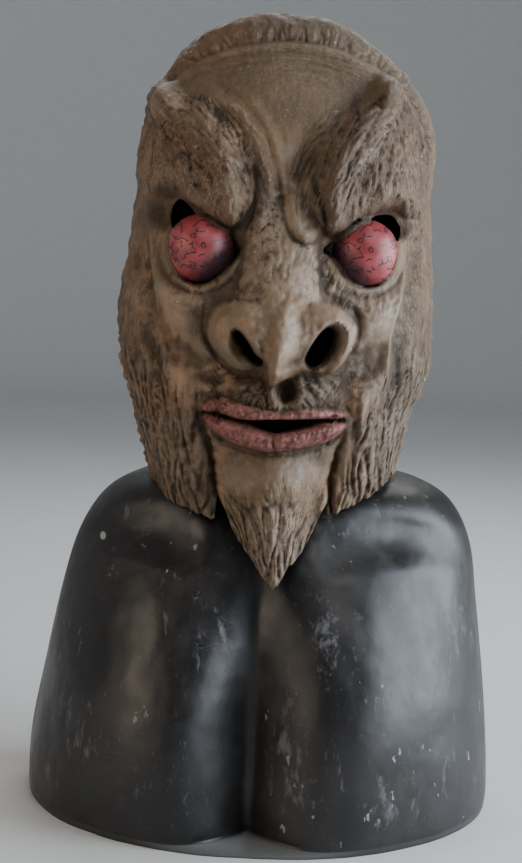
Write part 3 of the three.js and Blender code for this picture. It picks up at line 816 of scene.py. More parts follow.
# %% Holes
SIGHT = {
    "left": [
        (-79, 441), (-79, 452), (-76, 458), (-71, 461.5), (-66, 459), (-60, 453), (-58, 447), (-66, 440),
        (-74, 436),
    ],
    "right": [
        (64, 447), (66, 452.5), (74, 455), (82, 455), (88, 450), (91, 443), (89, 435), (84, 432), (78, 440),
        (70, 445),
    ],
}
NOSTRILS = {
    "left": [
        (-31, 368.5), (-27, 371), (-22, 367.5), (-17, 361), (-13.5, 355), (-8, 351), (-7.5, 346), (-13, 346),
        (-20, 351.5), (-26, 359),
    ],
    "right": [
        (19, 349.5), (21, 357), (25, 364.5), (31, 372.5), (37, 375.5), (42, 372), (42.5, 364), (40, 356.5),
        (36, 349.5), (31, 345), (25, 343.6),
    ],
}

# %% [markdown]
# ## Grain of the surface
#
# Wrinkles and strands of modelled hair run in their own direction in each part: out from the horns over the
# brows, round the eyes, down to a point in the goatee. So each part has comb coordinates, two across the
# strands and one along them, and a noise that is much longer along them than across draws the strands.

# %% Strands


def strands(comb, width):
    """Rounded strands with sharp gaps between them, from 0 in a gap to 1."""
    coarse = np.minimum(np.abs(grain(comb, width)) * 2.6, 1)
    fine = np.minimum(np.abs(grain(comb, width * 0.5, 9.3)) * 2.6, 1)
    return coarse * (0.65 + 0.35 * fine)


# %% Where each kind of surface is
FRONT = (8, 48)
AROUND_EYE = 58
facing = smooth_step(-y, *FRONT)
is_brow = {name: smooth_step(depth_inside(outline, x, z), -2, 4) * facing for name, outline in BROWS.items()}
brows = np.maximum(is_brow["left"], is_brow["right"])
beside_brow = {
    name: smooth_step(depth_inside(outline, x, z), -20, -9) * (1 - is_brow[name]) * facing
    * smooth_step(z, 436, 462) * (1 - smooth_step(z, 520, 548)) * (np.abs(x - 4) < 70)
    for name, outline in BROWS.items()
}
eye_distance = {name: np.hypot(x - ex, z - ez) for name, (ex, _, ez, _) in EYES.items()}
lips = facing * np.maximum(
    smooth_step(depth_inside(UPPER_LIP, x, z), -0.8, 1.6),
    smooth_step(depth_inside(LOWER_LIP, x, z), -0.8, 1.8),
)
nose = smooth_step(depth_inside(NOSE, x, z), -3, 3) * facing
above = smooth_step(from_hairline, 0.5, 5)
crown = np.maximum(above * smooth_step(z, 478, 515), (1 - facing) * smooth_step(z, 420, 470))
left_cleft = np.interp(z, [232, 246, 262, 290], [-38, -38, -40, -47])
right_cleft = np.interp(z, [238, 246, 262, 290], [44, 44, 43, 49])
is_middle = smooth_step(ragged_x - left_cleft, -1, 1) * smooth_step(right_cleft - ragged_x, -1, 1)
beard_z = z + 6 * grain(plain, 11, 31) + 2.5 * grain(plain, 4, 33)
goatee = smooth_step(-beard_z, -272, -240) * is_middle * facing
edge_of_face = np.interp(z, [250, 300, 340, 380, 420, 470, 530], [44, 62, 78, 92, 98, 101, 96])
outside_face = smooth_step(np.abs(x - 3), edge_of_face - 5, edge_of_face + 4)
sides = np.maximum(outside_face, 1 - facing) * (1 - crown) * (1 - goatee)
sides = np.maximum(sides, smooth_step(-z, -342, -300) * (1 - is_middle) * (1 - lips)
                   * smooth_step(np.abs(x - 3), 50, 58))
muzzle = bell(np.hypot((x - 2) / 92, (z - 322) / 50)) ** 0.5 * (1 - lips) * (1 - nose) * facing * (1 - sides)
round_eyes = np.maximum(
    bell(eye_distance["left"] / AROUND_EYE) ** 0.5, bell(eye_distance["right"] / AROUND_EYE) ** 0.5,
) * (1 - brows) * facing * (1 - sides) * (1 - muzzle)

# %% Patches


def patches_of(x, z, blots):
    """Soft patches: places, half width, half height and strength."""
    return np.maximum.reduce([
        strength * bell(np.hypot((x - px) / wide, (z - pz) / high)) ** 0.5
        for px, pz, wide, high, strength in blots
    ])


# %% Comb coordinates
sway = 3.2 * grain(plain, 26) + 1.3 * grain(plain, 9, 7)
RING_RADIUS = 30
APART = 97.0


def polar(middle):
    """Angle and distance of the points from a middle on the face."""
    return np.arctan2(x - middle[0], z - middle[1]), np.hypot(x - middle[0], z - middle[1])


def rays(middle, width, along):
    """Strands that spread from a middle: so wide at their usual distance, and drawn out by a factor."""
    angle, far = polar(middle)
    angle = angle + 0.6 * sway / width
    return np.stack([np.cos(angle) * width, np.sin(angle) * width, far / along], axis=1)


def beside(line, along):
    """Strands that run beside a line: the distance from it across them, and the way travelled along them."""
    path = np.array(curved(line))
    way = np.concatenate([[0], np.cumsum(np.hypot(*np.diff(path, axis=0).T))])
    distance, side, (travelled,) = nearest(np.column_stack([path, way]), x, z)
    return np.stack([distance * side + sway * 0.6, travelled / along, y / 5], axis=1)


def rings(middle, along):
    """Strands that run round a middle."""
    angle, far = polar(middle)
    reach = RING_RADIUS / along
    return np.stack([far, np.cos(angle) * reach, np.sin(angle) * reach], axis=1)


def choose(parts):
    """The comb coordinates of the part that weighs most, its weight, and how clearly it does."""
    weights = np.stack([weight for weight, _ in parts])
    combs = np.stack([comb + APART * i for i, (_, comb) in enumerate(parts)])
    best = np.argmax(weights, axis=0)
    ranked = np.sort(weights, axis=0)
    is_clear = smooth_step(ranked[-1] - ranked[-2], 0.02, 0.22)
    return combs[best, np.arange(len(x))], ranked[-1] * is_clear, is_clear


CROWN_RADIUS = 96
crown_angle, crown_far = polar((2, 492))
over_crown = np.stack([
    np.cos(crown_angle) * CROWN_RADIUS + sway, np.sin(crown_angle) * CROWN_RADIUS + sway, (y + crown_far) / 4,
], axis=1)
hanging = np.stack([x + sway, y + sway, z / 4.5], axis=1)
to_the_tip = rays((6, 150), 72, 5)
inner_brow = {}
for name, crest in CRESTS.items():
    distance, side, _ = nearest(curved(crest), x, z)
    inner_brow[name] = smooth_step(distance * side * -SIDES[name], -22, -10)
near_crest = {
    name: np.maximum(is_brow[name] * inner_brow[name], 0.7 * beside_brow[name]) for name in BROWS
}
cover_1, weight_1, is_clear_1 = choose([
    (is_brow["left"] * (1 - inner_brow["left"]), rays((-104, 560), 64, 5)),
    (near_crest["left"], beside(CRESTS["left"], 6)),
    (is_brow["right"] * (1 - inner_brow["right"]), rays((88, 572), 70, 5)),
    (near_crest["right"], beside(CRESTS["right"], 6)),
    (crown, over_crown), (muzzle, rays((2, 352), 40, 3.5)), (goatee, to_the_tip),
])
near_left = eye_distance["left"] < eye_distance["right"]
eye_rings = np.where(near_left[:, None], rings(EYES["left"][:3:2], 5), rings(EYES["right"][:3:2], 5))
is_forehead = facing * (1 - above) * smooth_step(z, 526, 562) * (1 - brows)
along_hairline = np.stack([from_hairline, x / 9 + sway * 0.2, z * 0], axis=1)
crinkled = facing * patches_of(x, z, [
    (-10, 440, 18, 28, 1), (-4, 415, 18, 24, 0.9), (30, 410, 24, 20, 1), (62, 392, 40, 16, 0.7),
    (-62, 392, 34, 14, 0.6), (-22, 402, 22, 22, 0.8), (22, 425, 18, 12, 1), (50, 372, 22, 16, 0.4),
])
in_folds = np.stack([x + sway, z / 2.2 + sway * 0.5, y / 2], axis=1)
cover_2, weight_2, is_clear_2 = choose([
    (round_eyes * (1 - crinkled), eye_rings), (crinkled * 0.6, in_folds), (sides, hanging),
    (is_forehead * 0.5, along_hairline),
    (lips, np.stack([x * 1.15 + sway + 1.4 * grain(plain, 6, 13), z / 2.2, y / 2.2], axis=1)),
])

# %% Relief of hair and wrinkles
lumps = grain(plain, 17) + 0.6 * grain(plain, 8, 5)


def tangled(comb, width, lean=1.5):
    """Two families of strands at a slight angle, so that they cross and merge as combed hair does."""
    other = comb + np.stack([lean * comb[:, 1], comb[:, 0] * 0, comb[:, 0] * 0 + 41], axis=1)
    return np.minimum(strands(comb, width), 0.25 + 0.75 * strands(other, width * 0.8))


low_sides = smooth_step(-z, -400, -310)
hairy = np.maximum.reduce([brows, goatee, sides * low_sides, muzzle * 0.7])
relief = np.zeros(len(x))
relief += brows * 3.1 * (tangled(cover_1, 4.6) - 0.45)
folded = np.maximum(beside_brow["left"], beside_brow["right"])
relief += folded * 2.0 * (tangled(cover_1, 4.4) - 0.45)
relief += crown * 2.0 * bell((from_hairline - 5) / 16) * above * (strands(cover_1, 7) - 0.5)
relief += crown * 0.9 * lumps
relief += muzzle * 3.8 * (tangled(cover_1, 6.2) - 0.43)
relief += goatee * 4.8 * (tangled(cover_1, 8.6) - 0.45)
relief *= is_clear_1
relief_2 = sides * blend(0.5, 5.2, low_sides) * (tangled(cover_2, 10) - 0.45)
relief_2 += is_forehead * 0.4 * (strands(cover_2, 3.6) - 0.5)
relief_2 += round_eyes * 1.0 * (strands(cover_2, 4.6) - 0.5)
relief_2 += lips * 1.9 * (strands(cover_2, 4.4) - 0.6)
relief += relief_2 * is_clear_2
relief += sides * 1.5 * lumps
relief += crinkled * 3.0 * (tangled(in_folds, 5.0) - 0.4)
relief += nose * (1 - crinkled) * (1.1 * grain(plain, 5.5, 27) + 0.8 * grain(plain, 2.8, 29))
relief += 0.4 * lumps + (0.3 * grain(plain, 4) + 0.22 * grain(plain, 2.6, 3)) * (1 - 0.5 * crown)
relief += hairy * (0.7 * grain(plain, 5, 21) + 0.45 * grain(plain, 2.8, 23))
jowl = bell(np.hypot((np.abs(x) - 60) / 30, (z - 348) / 38)) * facing
relief += jowl * (1.2 * grain(plain, 8, 35) + 0.7 * grain(plain, 4, 37))
all_holes = [MOUTH, *NOSTRILS.values(), *EYE_OPENINGS.values(), *SIGHT.values()]
in_hole = depth_within(all_holes, x, z)
relief *= 1 - 0.85 * smooth_step(in_hole, -3, -0.5) * facing

MANE = [
    [(-104, 470, -2, 8), (-101, 440, -4, 8), (-97, 404, -6, 9), (-91, 366, -7, 9), (-84, 330, -5, 9),
     (-80, 296, -2, 9)],
    [(101, 434, -4, 8), (99, 398, -7, 9), (91, 366, -7, 9), (89, 330, -5, 9), (82, 300, -2, 9)],
]
outward = np.stack([x - 3, y - 10, 1.2 * np.maximum(z - 520, 0)], axis=1)
outward /= np.linalg.norm(outward, axis=1, keepdims=True)
mane = sum(ridge(x, z, line) for line in MANE) * (y < 0)
hair_roll = 2.5 * smooth_step(from_hairline, 3, 14) - 2.2 * bell(hair_distance / 7)
mane += above * crown * hair_roll * facing ** 0.3

points = plain.copy()
points[:, 1] -= (push + relief * (facing > 0)) * facing
points += outward * (mane + relief * (1 - facing))[:, None]

# %% Horns
HORNS = [((-88, 531), (-4, -30, 4), 19), ((78, 541), (-1, -23, 4), 15)]
for (hx, hz), pull, reach in HORNS:
    share = bell(np.hypot(x - hx, z - hz) / reach) ** 0.9 * (y < 0)
    points += share[:, None] * np.array(pull)

# %% [markdown]
# ## Holes and their rims
#
# The eyes, the gaps above them, the nostrils and the mouth are cut right through. Round each hole the latex
# turns inwards, as the edge of a casting does, so the rim shows its thickness. Round an eye it turns in
# until it meets the ball.

# %% Rims
is_cut = np.zeros(len(x), bool)
# outlines, how deep the rim turns in, and where it ends inside the outline
HOLES = [
    ([MOUTH], 10, 1.5), ([NOSTRILS["left"]], 12, 1.2), ([NOSTRILS["right"]], 16, 2.0),
]


def has_neighbour(chosen):
    """Which points of the sheet are chosen or lie beside a chosen one."""
    grid = chosen[order].reshape(ROWS + 1, COLUMNS + 1)
    near = np.zeros_like(grid)
    for i in (-1, 0, 1):
        for j in (-1, 0, 1):
            near |= np.roll(grid, (i, j), axis=(0, 1))
    found = np.empty(len(chosen), bool)
    found[order] = near.ravel()
    return found


def snap_to_rim(outlines, rim):
    """Moves the outermost points inside a hole onto its rim. Returns how deep in the hole all points lie."""
    step = 0.4
    within = depth_within(outlines, x, z)
    slope_x = (depth_within(outlines, x + step, z) - within) / step
    slope_z = (depth_within(outlines, x, z + step) - within) / step
    steepness = np.maximum(np.hypot(slope_x, slope_z), 0.5)
    is_in = (within >= rim) & (y < 0)
    is_last = is_in & has_neighbour(~is_in)
    move = np.where(is_last, rim - within, 0) / steepness**2
    points[:, 0] += move * slope_x
    points[:, 2] += move * slope_z
    return np.where(y < 0, np.where(is_last, rim, within), -99)


for outlines, depth, rim in HOLES:
    within = snap_to_rim(outlines, rim)
    points[:, 1] += depth * smooth_step(within, -0.5, rim) * facing
    is_cut |= within >= rim

# %% Lids over the balls
EYE_RIM = 1.8
LID = 2.6
for name, (ex, ey, ez, er) in EYES.items():
    within = snap_to_rim([EYE_OPENINGS[name], SIGHT[name]], EYE_RIM)
    far = np.hypot(points[:, 0] - ex, points[:, 2] - ez)
    ball = ey - np.sqrt(np.maximum(er**2 - far**2, 0))
    over_ball = bell(np.maximum(far - er + 1, 0) / 6) * (y < 0)
    lid_y = np.where(far < er, ball, ey + 0.8 * (far - er)) - LID
    points[:, 1] = blend(points[:, 1], np.minimum(points[:, 1], lid_y), over_ball)
    target = np.where(far < er - 0.5, ball - 0.4, ey + 9 * smooth_step(far, er - 0.5, er + 4))
    turned_in = smooth_step(within, -0.3, EYE_RIM)
    points[:, 1] = blend(points[:, 1], np.maximum(points[:, 1], target), turned_in)
    is_cut |= within >= EYE_RIM

# %% Paint masks for the skin
NEAR_REACH = 1
NEAR_DEPTH = 0.8
FAR_REACH = 5
FAR_DEPTH = 3.5
surface = (push * facing + mane + relief)[order].reshape(ROWS + 1, COLUMNS + 1)


def blurred(grid, reach):
    """Averages a grid over its neighbours. The columns close round the head."""
    for _ in range(3):
        grid = sum(np.roll(grid, k, axis=1) for k in range(-reach, reach + 1)) / (2 * reach + 1)
        rows = np.pad(grid, ((reach, reach), (0, 0)), mode="edge")
        grid = sum(rows[k:k + len(grid)] for k in range(2 * reach + 1)) / (2 * reach + 1)
    return grid


sunk_grid = 0.6 * (blurred(surface, NEAR_REACH) - surface) / NEAR_DEPTH
sunk_grid += 0.4 * (blurred(surface, FAR_REACH) - surface) / FAR_DEPTH
sunk = np.empty(len(x))
sunk[order] = sunk_grid.ravel()
# Soft dark patches: mostly painted shade in the cheek hollows, under the nose wings and the right horn, in
# creases,
# clefts and the corners of the eyes, and partly darker brown paint on the chin and the sides
SHADE_AND_GRIME_SPOTS = [
    (-66, 350, 20, 10, 0.3), (2, 272, 42, 22, 0.6), (62, 348, 20, 12, 0.75), (10, 327, 8, 13, 0.9),
    (-18, 468, 7, 36, 0.6), (30, 456, 5, 26, 0.9), (24, 478, 9, 34, 0.6), (62, 515, 12, 28, 0.7),
    (-60, 490, 18, 26, 0.6), (-48, 468, 20, 20, 0.8), (60, 480, 34, 40, 0.45), (-86, 452, 15, 15, 1),
    (92, 446, 12, 14, 0.8), (-100, 350, 12, 40, 0.5), (98, 345, 14, 30, 0.8), (110, 412, 20, 80, 0.8),
    (-45, 268, 8, 40, 0.9), (46, 262, 8, 34, 0.9), (-22, 356, 10, 12, 0.8), (38, 358, 11, 18, 0.8),
    (34, 426, 9, 10, 0.8), (-28, 424, 8, 12, 0.8), (85, 320, 8, 10, 0.6),
]
RUDDY = [
    (-98, 500, 24, 56, 0.8), (-102, 396, 16, 56, 0.9), (-30, 374, 20, 18, 0.7), (-68, 328, 24, 26, 1),
    (-42, 334, 26, 14, 1), (-82, 366, 20, 34, 0.7), (-44, 474, 18, 22, 0.8), (-72, 500, 24, 30, 0.5),
    (80, 486, 30, 34, 0.6), (84, 503, 17, 15, 1), (66, 496, 12, 8, 0.6), (68, 467, 20, 8, 0.7),
    (60, 320, 16, 14, 0.5), (108, 380, 10, 60, 0.4), (-36, 262, 7, 30, 0.6), (-42, 452, 16, 10, 0.5),
    (22, 340, 40, 10, 0.3), (-84, 306, 8, 30, 0.5),
]
# Soft pale patches: painted highlights on the nose ridge and root, the right nostril rim and the right cheek,
# painted
# light on the shaded left of the muzzle, and paler paint on the goatee and along the split of the lower lip
PALE_AND_HIGHLIGHT_SPOTS = [
    (9, 370, 8, 28, 0.7), (51, 370, 12, 21, 1), (74, 377, 26, 15, 0.7), (62, 402, 34, 9, 0.4),
    (-2, 444, 20, 28, 0.9), (6, 222, 24, 40, 0.9), (-24, 262, 12, 12, 0.4), (-54, 332, 28, 18, 0.45),
    (-64, 268, 14, 26, 0.35), (62, 268, 16, 24, 0.4), (20, 404, 16, 14, 0.5), (24, 276, 24, 16, 0.4),
    (-6, 404, 16, 30, 0.4), (-70, 376, 14, 16, 0.4), (-38, 462, 12, 18, 0.5), (-50, 512, 16, 14, 0.4),
    (20, 420, 20, 10, 0.4), (94, 300, 14, 30, 0.5), (2.5, 291, 2.5, 9, 1),
]
# Painted shade in the corners of the eyes, under the balls and round the gaps above the eyes
PAINTED_SHADE_SPOTS = [
    (-90, 449, 14, 19, 1), (-82, 464, 17, 9, 1), (96, 444, 9, 12, 0.7), (80, 457, 16, 5, 0.7),
    (30, 427, 7, 8, 0.9), (-26, 430, 5, 12, 0.9), (-36, 408, 16, 5, 0.6), (62, 398, 20, 4, 0.6),
]
# The edge of the right upper lid, painted pale as a highlight
LID_HIGHLIGHT = [
    (33, 430), (40, 435), (48, 440.5), (57, 446.5), (66, 450),
]
# painted shade and darker paint from the patches above, and darker paint on the brows
grime = facing * patches_of(x, z, SHADE_AND_GRIME_SPOTS) * (1 - 0.5 * brows)
grime += 0.5 * is_brow["right"] + 0.25 * is_brow["left"]
lid_distance, _, _ = nearest(curved(LID_HIGHLIGHT), x, z)
# painted shade on the turned-in rim of every hole and just outside it, except at the lips
round_holes = facing * (1 - lips) * bell(np.maximum(-in_hole, 0) / 3)
masks = {
    "sunk": np.clip(0.5 + 0.5 * sunk, 0, 1),
    "lips": lips,
    "brow": np.clip(is_brow["right"] + 0.4 * is_brow["left"], 0, 1),
    "hair": np.clip(np.maximum.reduce([
        brows, crown * 0.3, goatee * 0.8, sides * (0.2 + 0.4 * low_sides), muzzle * 0.55, crinkled * 0.85,
        folded * 0.5,
    ]), 0, 1),
    "crinkled": crinkled,
    "weight_1": weight_1,
    "weight_2": weight_2,
    "grime": grime,
    "ruddy": facing * patches_of(x, z, RUDDY) * (1 - 0.4 * brows) + 0.4 * brows,
    # pale paint and painted highlights, with a painted highlight along the right upper lid
    "pale": facing * np.maximum(patches_of(x, z, PALE_AND_HIGHLIGHT_SPOTS), bell(lid_distance / 3.2)),
    "soot": np.maximum(facing * patches_of(x, z, PAINTED_SHADE_SPOTS), 0.5 * round_holes),
}

# %% Put the points in place


def store(mesh, name, values):
    """Keeps a number or a vector for each point of a mesh."""
    kind, part = ("FLOAT", "value") if values.ndim == 1 else ("FLOAT_VECTOR", "vector")
    layer = mesh.attributes.new(name, kind, "POINT")
    layer.data.foreach_set(part, values.astype(np.float32).ravel())


skin_mesh = bpy.data.meshes.new("mask_skin_sheet")
skin_shape.to_mesh(skin_mesh)
skin_shape.free()
skin_mesh.vertices.foreach_set("co", in_frame(points).astype(np.float32).ravel())
for name, values in {**masks, "comb_1": cover_1, "comb_2": cover_2}.items():
    store(skin_mesh, name, values)

shape = bmesh.new()
shape.from_mesh(skin_mesh)
bpy.data.meshes.remove(skin_mesh)
shape.verts.ensure_lookup_table()
cut_faces = [f for f in shape.faces if all(is_cut[v.index] for v in f.verts)]
bmesh.ops.delete(shape, geom=cut_faces, context="FACES")
bmesh.ops.remove_doubles(shape, verts=shape.verts, dist=WELD)
bmesh.ops.recalc_face_normals(shape, faces=shape.faces)
side_face = max(shape.faces, key=lambda f: f.calc_center_median().x)
if side_face.normal.x < 0:
    bmesh.ops.reverse_faces(shape, faces=shape.faces)

LATEX = 4 * MM
HEM_TOP = 285 * MM
NECK_Y = 30 * MM
rim_edges = [e for e in shape.edges if e.is_boundary]
for thing in bmesh.ops.extrude_edge_only(shape, edges=rim_edges)["geom"]:
    if isinstance(thing, bmesh.types.BMVert):
        inwards = Vector((-thing.co.x, NECK_Y - thing.co.y, 0)) if thing.co.z < HEM_TOP else Vector((0, 1, 0))
        thing.co += inwards.normalized() * LATEX
print(f"skin: {len(shape.faces)} faces")
skin = to_object("mask_latex", shape)
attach(skin, "root")
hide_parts("mask_skin")

# %% [markdown]
# ## Eyes
#
# Each eye is a ball of cast resin with a flat back, painted and then glazed. A sphere cut by a plane is its
# whole shape.

# %% Eyes
FLAT_BACK = 12 * MM
EYE_COLUMNS = 72
EYE_ROWS = 48
eyes = []
for name, (ex, ey, ez, er) in EYES.items():
    shape = bmesh.new()
    bmesh.ops.create_uvsphere(shape, u_segments=EYE_COLUMNS, v_segments=EYE_ROWS, radius=er * MM)
    bmesh.ops.rotate(shape, verts=shape.verts, matrix=Matrix.Rotation(math.radians(90), 3, "X"))
    everything = [*shape.verts, *shape.edges, *shape.faces]
    bmesh.ops.bisect_plane(
        shape, geom=everything, plane_co=(0, FLAT_BACK, 0), plane_no=(0, 1, 0), clear_outer=True)
    bmesh.ops.holes_fill(shape, edges=[e for e in shape.edges if e.is_boundary])
    bmesh.ops.rotate(shape, verts=shape.verts, matrix=Matrix.Rotation(MASK_TURN, 3, "Z"))
    middle = in_frame(np.array([[ex, ey, ez]], float))[0]
    bmesh.ops.translate(shape, verts=shape.verts, vec=middle)
    bmesh.ops.recalc_face_normals(shape, faces=shape.faces)
    gaze = np.array([(v.co - Vector(middle)) / MM for v in shape.verts])[:, (0, 2, 1)] * (1, 1, 0)
    eye = to_object(f"glazed_eye_{name}", shape)
    store(eye.data, "gaze", gaze)
    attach(eye, "root")
    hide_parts(f"eye_{name}")
    eyes.append(eye)
print(f"{len(eyes)} eyes")

# %% [markdown]
# ## Display bust
#
# The bust is one glossy black casting: a plain head that fills the mask, a neck, and a chest parted by a
# deep furrow. It uses the same level sections and strokes as the mask.

# %% Bust
HEAD_TOP = 595.1
BUST_LEVELS = [
    (HEAD_TOP, 0, 0, 0, 12, 3),
    (HEAD_TOP - 10, 34, 28, 34, 12, 3),
    (HEAD_TOP - 45, 62, 46, 62, 12, 3),
    (500, 74, 62, 82, 10, 3),
    (440, 70, 62, 78, 8, 3),
    (390, 58, 58, 62, 6, 3),
    (350, 54, 50, 56, 8, 3),
    (300, 57, 50, 60, 10, 4),
    (264, 66, 54, 56, 12, 7),
    (252, 107, 68, 68, 12, 10),
    (236, 134, 86, 78, 12, 9),
    (205, 152, 112, 88, 14, 7),
    (160, 162, 138, 92, 16, 4),
    (100, 172, 158, 93, 18, 2),
    (50, 179, 167, 92, 18, 0),
    (14, 181, 168, 92, 18, 0),
    (0, 180, 166, 91, 18, 0),
]
PLATE = 4
CREASE_X = -2
FURROW = [(PLATE, 40, 54), (60, 40, 56), (110, 33, 54), (170, 17, 50), (215, 4, 44), (262, 0, 40)]
SHOULDER_TOP = 262
FURROW_ROUND = 5
BUST_ROUNDNESS = 2.05
BUST_COLUMNS = 240
BUST_ROWS = 270
LEAST_HALF = 60
places, sections = smooth_levels(BUST_LEVELS)
shape, flat = new_grid(BUST_COLUMNS, BUST_ROWS)
down = (1 - flat[:, 1]) / 2
travelled = way_down(sections)
level = np.interp(down * travelled[-1], travelled, places)
half, mid_x = (np.interp(level, places, sections[:, i]) for i in (1, 5))
lean = np.arcsin(np.clip((CREASE_X - mid_x) / np.maximum(half, LEAST_HALF), -0.9, 0.9)) / np.pi
turn = drawn_in(flat[:, 0])
turn = turn + np.where(half > LEAST_HALF, lean, 0) * (1 - np.abs(turn))
bust_points = section(places, sections, level, turn, BUST_ROUNDNESS)
bx, by, bz = bust_points.T
swell = np.zeros(len(bx))
for s in SIDES.values():
    swell += swelling(bx, bz, (s * 84, 100), (80, 110), 10)
    swell += ridge(bx, bz, [(s * 38, 232, 4, 18), (s * 84, 246, 6, 18), (s * 128, 238, 4, 18)])
    swell += ridge(bx, bz, [(s * 56, 208, -4, 20), (s * 96, 216, -7, 20), (s * 146, 208, -5, 18)])
furrow_places, furrow = curve_through(FURROW, 0.5)
cut = np.interp(bz, furrow_places, furrow[:, 0]) * (bz > PLATE)
reach = np.interp(bz, furrow_places, furrow[:, 1])
from_crease = np.hypot(bx - CREASE_X, FURROW_ROUND) - FURROW_ROUND
swell -= cut * np.maximum(0, 1 - from_crease / reach) ** 1.8
fade = smooth_step(SHOULDER_TOP - bz, 0, 14)
lumpy = 1.2 * grain(bust_points, 38) + 0.35 * grain(bust_points, 16, 3)
bust_points[:, 1] -= (swell + lumpy) * fade * smooth_step(-by, *FRONT)
bust_points[:, 1] += SHIFT
for vertex, place in zip(shape.verts, bust_points * MM):
    vertex.co = place
WEAR = [
    (30, 70, 26, 60, 1), (52, 150, 30, 40, 0.8), (110, 115, 60, 14, 0.8), (96, 40, 40, 26, 0.7),
    (150, 150, 24, 40, 0.6), (-60, 40, 40, 30, 0.5), (-130, 80, 26, 50, 0.6), (-110, 215, 40, 24, 0.5),
    (-30, 140, 20, 40, 0.5), (70, 235, 60, 18, 0.6), (-150, 30, 20, 24, 0.6),
]
worn_layer = shape.verts.layers.float.new("wear")
for vertex, value in zip(shape.verts, (by < 0) * patches_of(bx, bz, WEAR)):
    vertex[worn_layer] = value
bmesh.ops.remove_doubles(shape, verts=shape.verts, dist=WELD)
bmesh.ops.holes_fill(shape, edges=[e for e in shape.edges if e.is_boundary])
bmesh.ops.recalc_face_normals(shape, faces=shape.faces)
bust = to_object("black_bust", shape)
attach(bust, "root")
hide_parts("display_bust")
print(f"bust: {len(bust.data.polygons)} faces")

# %% [markdown]
# ## Finish of the latex
#
# The mask was sponged in grey-brown, and a thin dark stain was wiped over it, so the stain stays in every
# gap and the raised strands are pale. The masks that were worked out with the relief tell the paint where
# the surface is sunk, and the comb coordinates draw hair-fine grooves that follow the modelled strands. Soft
# patches add painted shade in hollows, creases and round the holes, and painted highlights on lit ridges.

# %% Painted latex
latex = Finish("painted latex", IOR=1.45, Specular_IOR_Level=0.42)
on_skin = latex.place()
NAMES = ("sunk", "hair", "lips", "brow", "crinkled", "grime", "ruddy", "pale", "soot")
sunk, hair, lip, brow, crinkle, grime, ruddy, pale, soot = (latex.attribute(name) for name in NAMES)


def hairlines(scales, width):
    """Thin lines along both combs, where a drawn-out noise crosses its middle: 1 on a line, 0 off it."""
    lines = []
    for comb, scale in zip("12", scales):
        wave = latex.noise(latex.attribute("comb_" + comb, "Vector"), scale, 3, 0.6, distortion=0.3)
        lines.append(abs(wave - 0.5).from_to(0.0, width, 1, 0) * latex.attribute("weight_" + comb))
    return lines[0].most(lines[1])


uneven = latex.noise(on_skin, 55, 3).from_to(0.38, 0.62, 0.35, 1)
wide = hairlines((0.30, 0.34), 0.045)
thin = hairlines((0.85, 0.95), 0.07)
grooves = (wide * uneven).most(thin * (0.15 + hair * 0.4))
pits = latex.noise(on_skin, 330, 3, 0.6).from_to(0.60, 0.70) * (hair * 0.8 + 0.12)
cloud = latex.noise(on_skin, 75, 4, 0.65)

# dark wash in sunk places, pits and grooves, together with painted shade from the shade patches and hole rims
stain_and_shade = (sunk.from_to(0.53, 0.92) * (0.45 + hair * 0.47)).most(pits * 0.8)
stain_and_shade = stain_and_shade.most(grooves * (0.25 + hair * 0.45) * (1 - lip * 0.3))
# painted shade, with some darker paint, from the soft dark patches
stain_and_shade = stain_and_shade.most(grime * cloud.from_to(0.30, 0.62) * 0.55)
# painted shade at the eye corners, under the balls and round the holes
stain_and_shade = stain_and_shade.most(soot * cloud.from_to(0.16, 0.52) * 0.88)
rubbed = (1 - sunk).from_to(0.50, 0.88) * (0.35 + hair * 0.42)
# tiny pale specks painted into the colour as glints of light, most on the hair
glint_specks = latex.noise(on_skin, 420, 1).from_to(0.70, 0.74) * latex.noise(on_skin, 60, 2).from_to(0.50, 0.62)
mottle = latex.noise(on_skin, 22, 4, 0.6).from_to(0.25, 0.75)
warm = latex.noise(on_skin, 13, 3).from_to(0.46, 0.64)
speckle = latex.noise(on_skin, 620, 2).from_to(0.45, 0.75)
cracks = latex.noise(on_skin, 180, 4, 0.65).from_to(0.36, 0.62)
lip_paint = latex.mix(cracks, (0.135, 0.042, 0.032), (0.335, 0.130, 0.110))

base = latex.mix(mottle, (0.090, 0.057, 0.032), (0.136, 0.092, 0.055))
for share, colour in (
    (warm * 0.5, (0.190, 0.098, 0.045)),
    (ruddy * cloud.from_to(0.34, 0.60) * 0.85, (0.305, 0.162, 0.082)),
    # pale paint and painted highlights
    (pale * cloud.from_to(0.30, 0.64) * 0.7, (0.350, 0.268, 0.198)),
    (crinkle * cloud.from_to(0.35, 0.6) * 0.6, (0.330, 0.250, 0.186)),
    (rubbed * (0.7 + crinkle * 0.3), (0.298, 0.214, 0.142)),
    (brow * 0.45, (0.096, 0.058, 0.033)),
    (speckle * 0.2, (0.270, 0.215, 0.155)),
    (glint_specks * (0.25 + hair * 0.7), (0.55, 0.50, 0.44)),
    (lip * 0.9, lip_paint),
    (stain_and_shade, (0.020, 0.012, 0.007)),
):
    base = latex.mix(share, base, colour)

skin_height = 1 - (grooves * 0.8).most(pits * 0.7)
skin_height = skin_height + latex.noise(on_skin, 900, 3) * 0.25 + latex.noise(on_skin, 260, 4, 0.65) * 0.35
gloss = latex.noise(on_skin, 140, 3).from_to(0.35, 0.7, 0.42, 0.66)
skin.data.materials.append(latex.set(
    Base_Color=base, Roughness=gloss + stain_and_shade * 0.1, Normal=latex.bump(skin_height, 0.0011, 0.9),
))
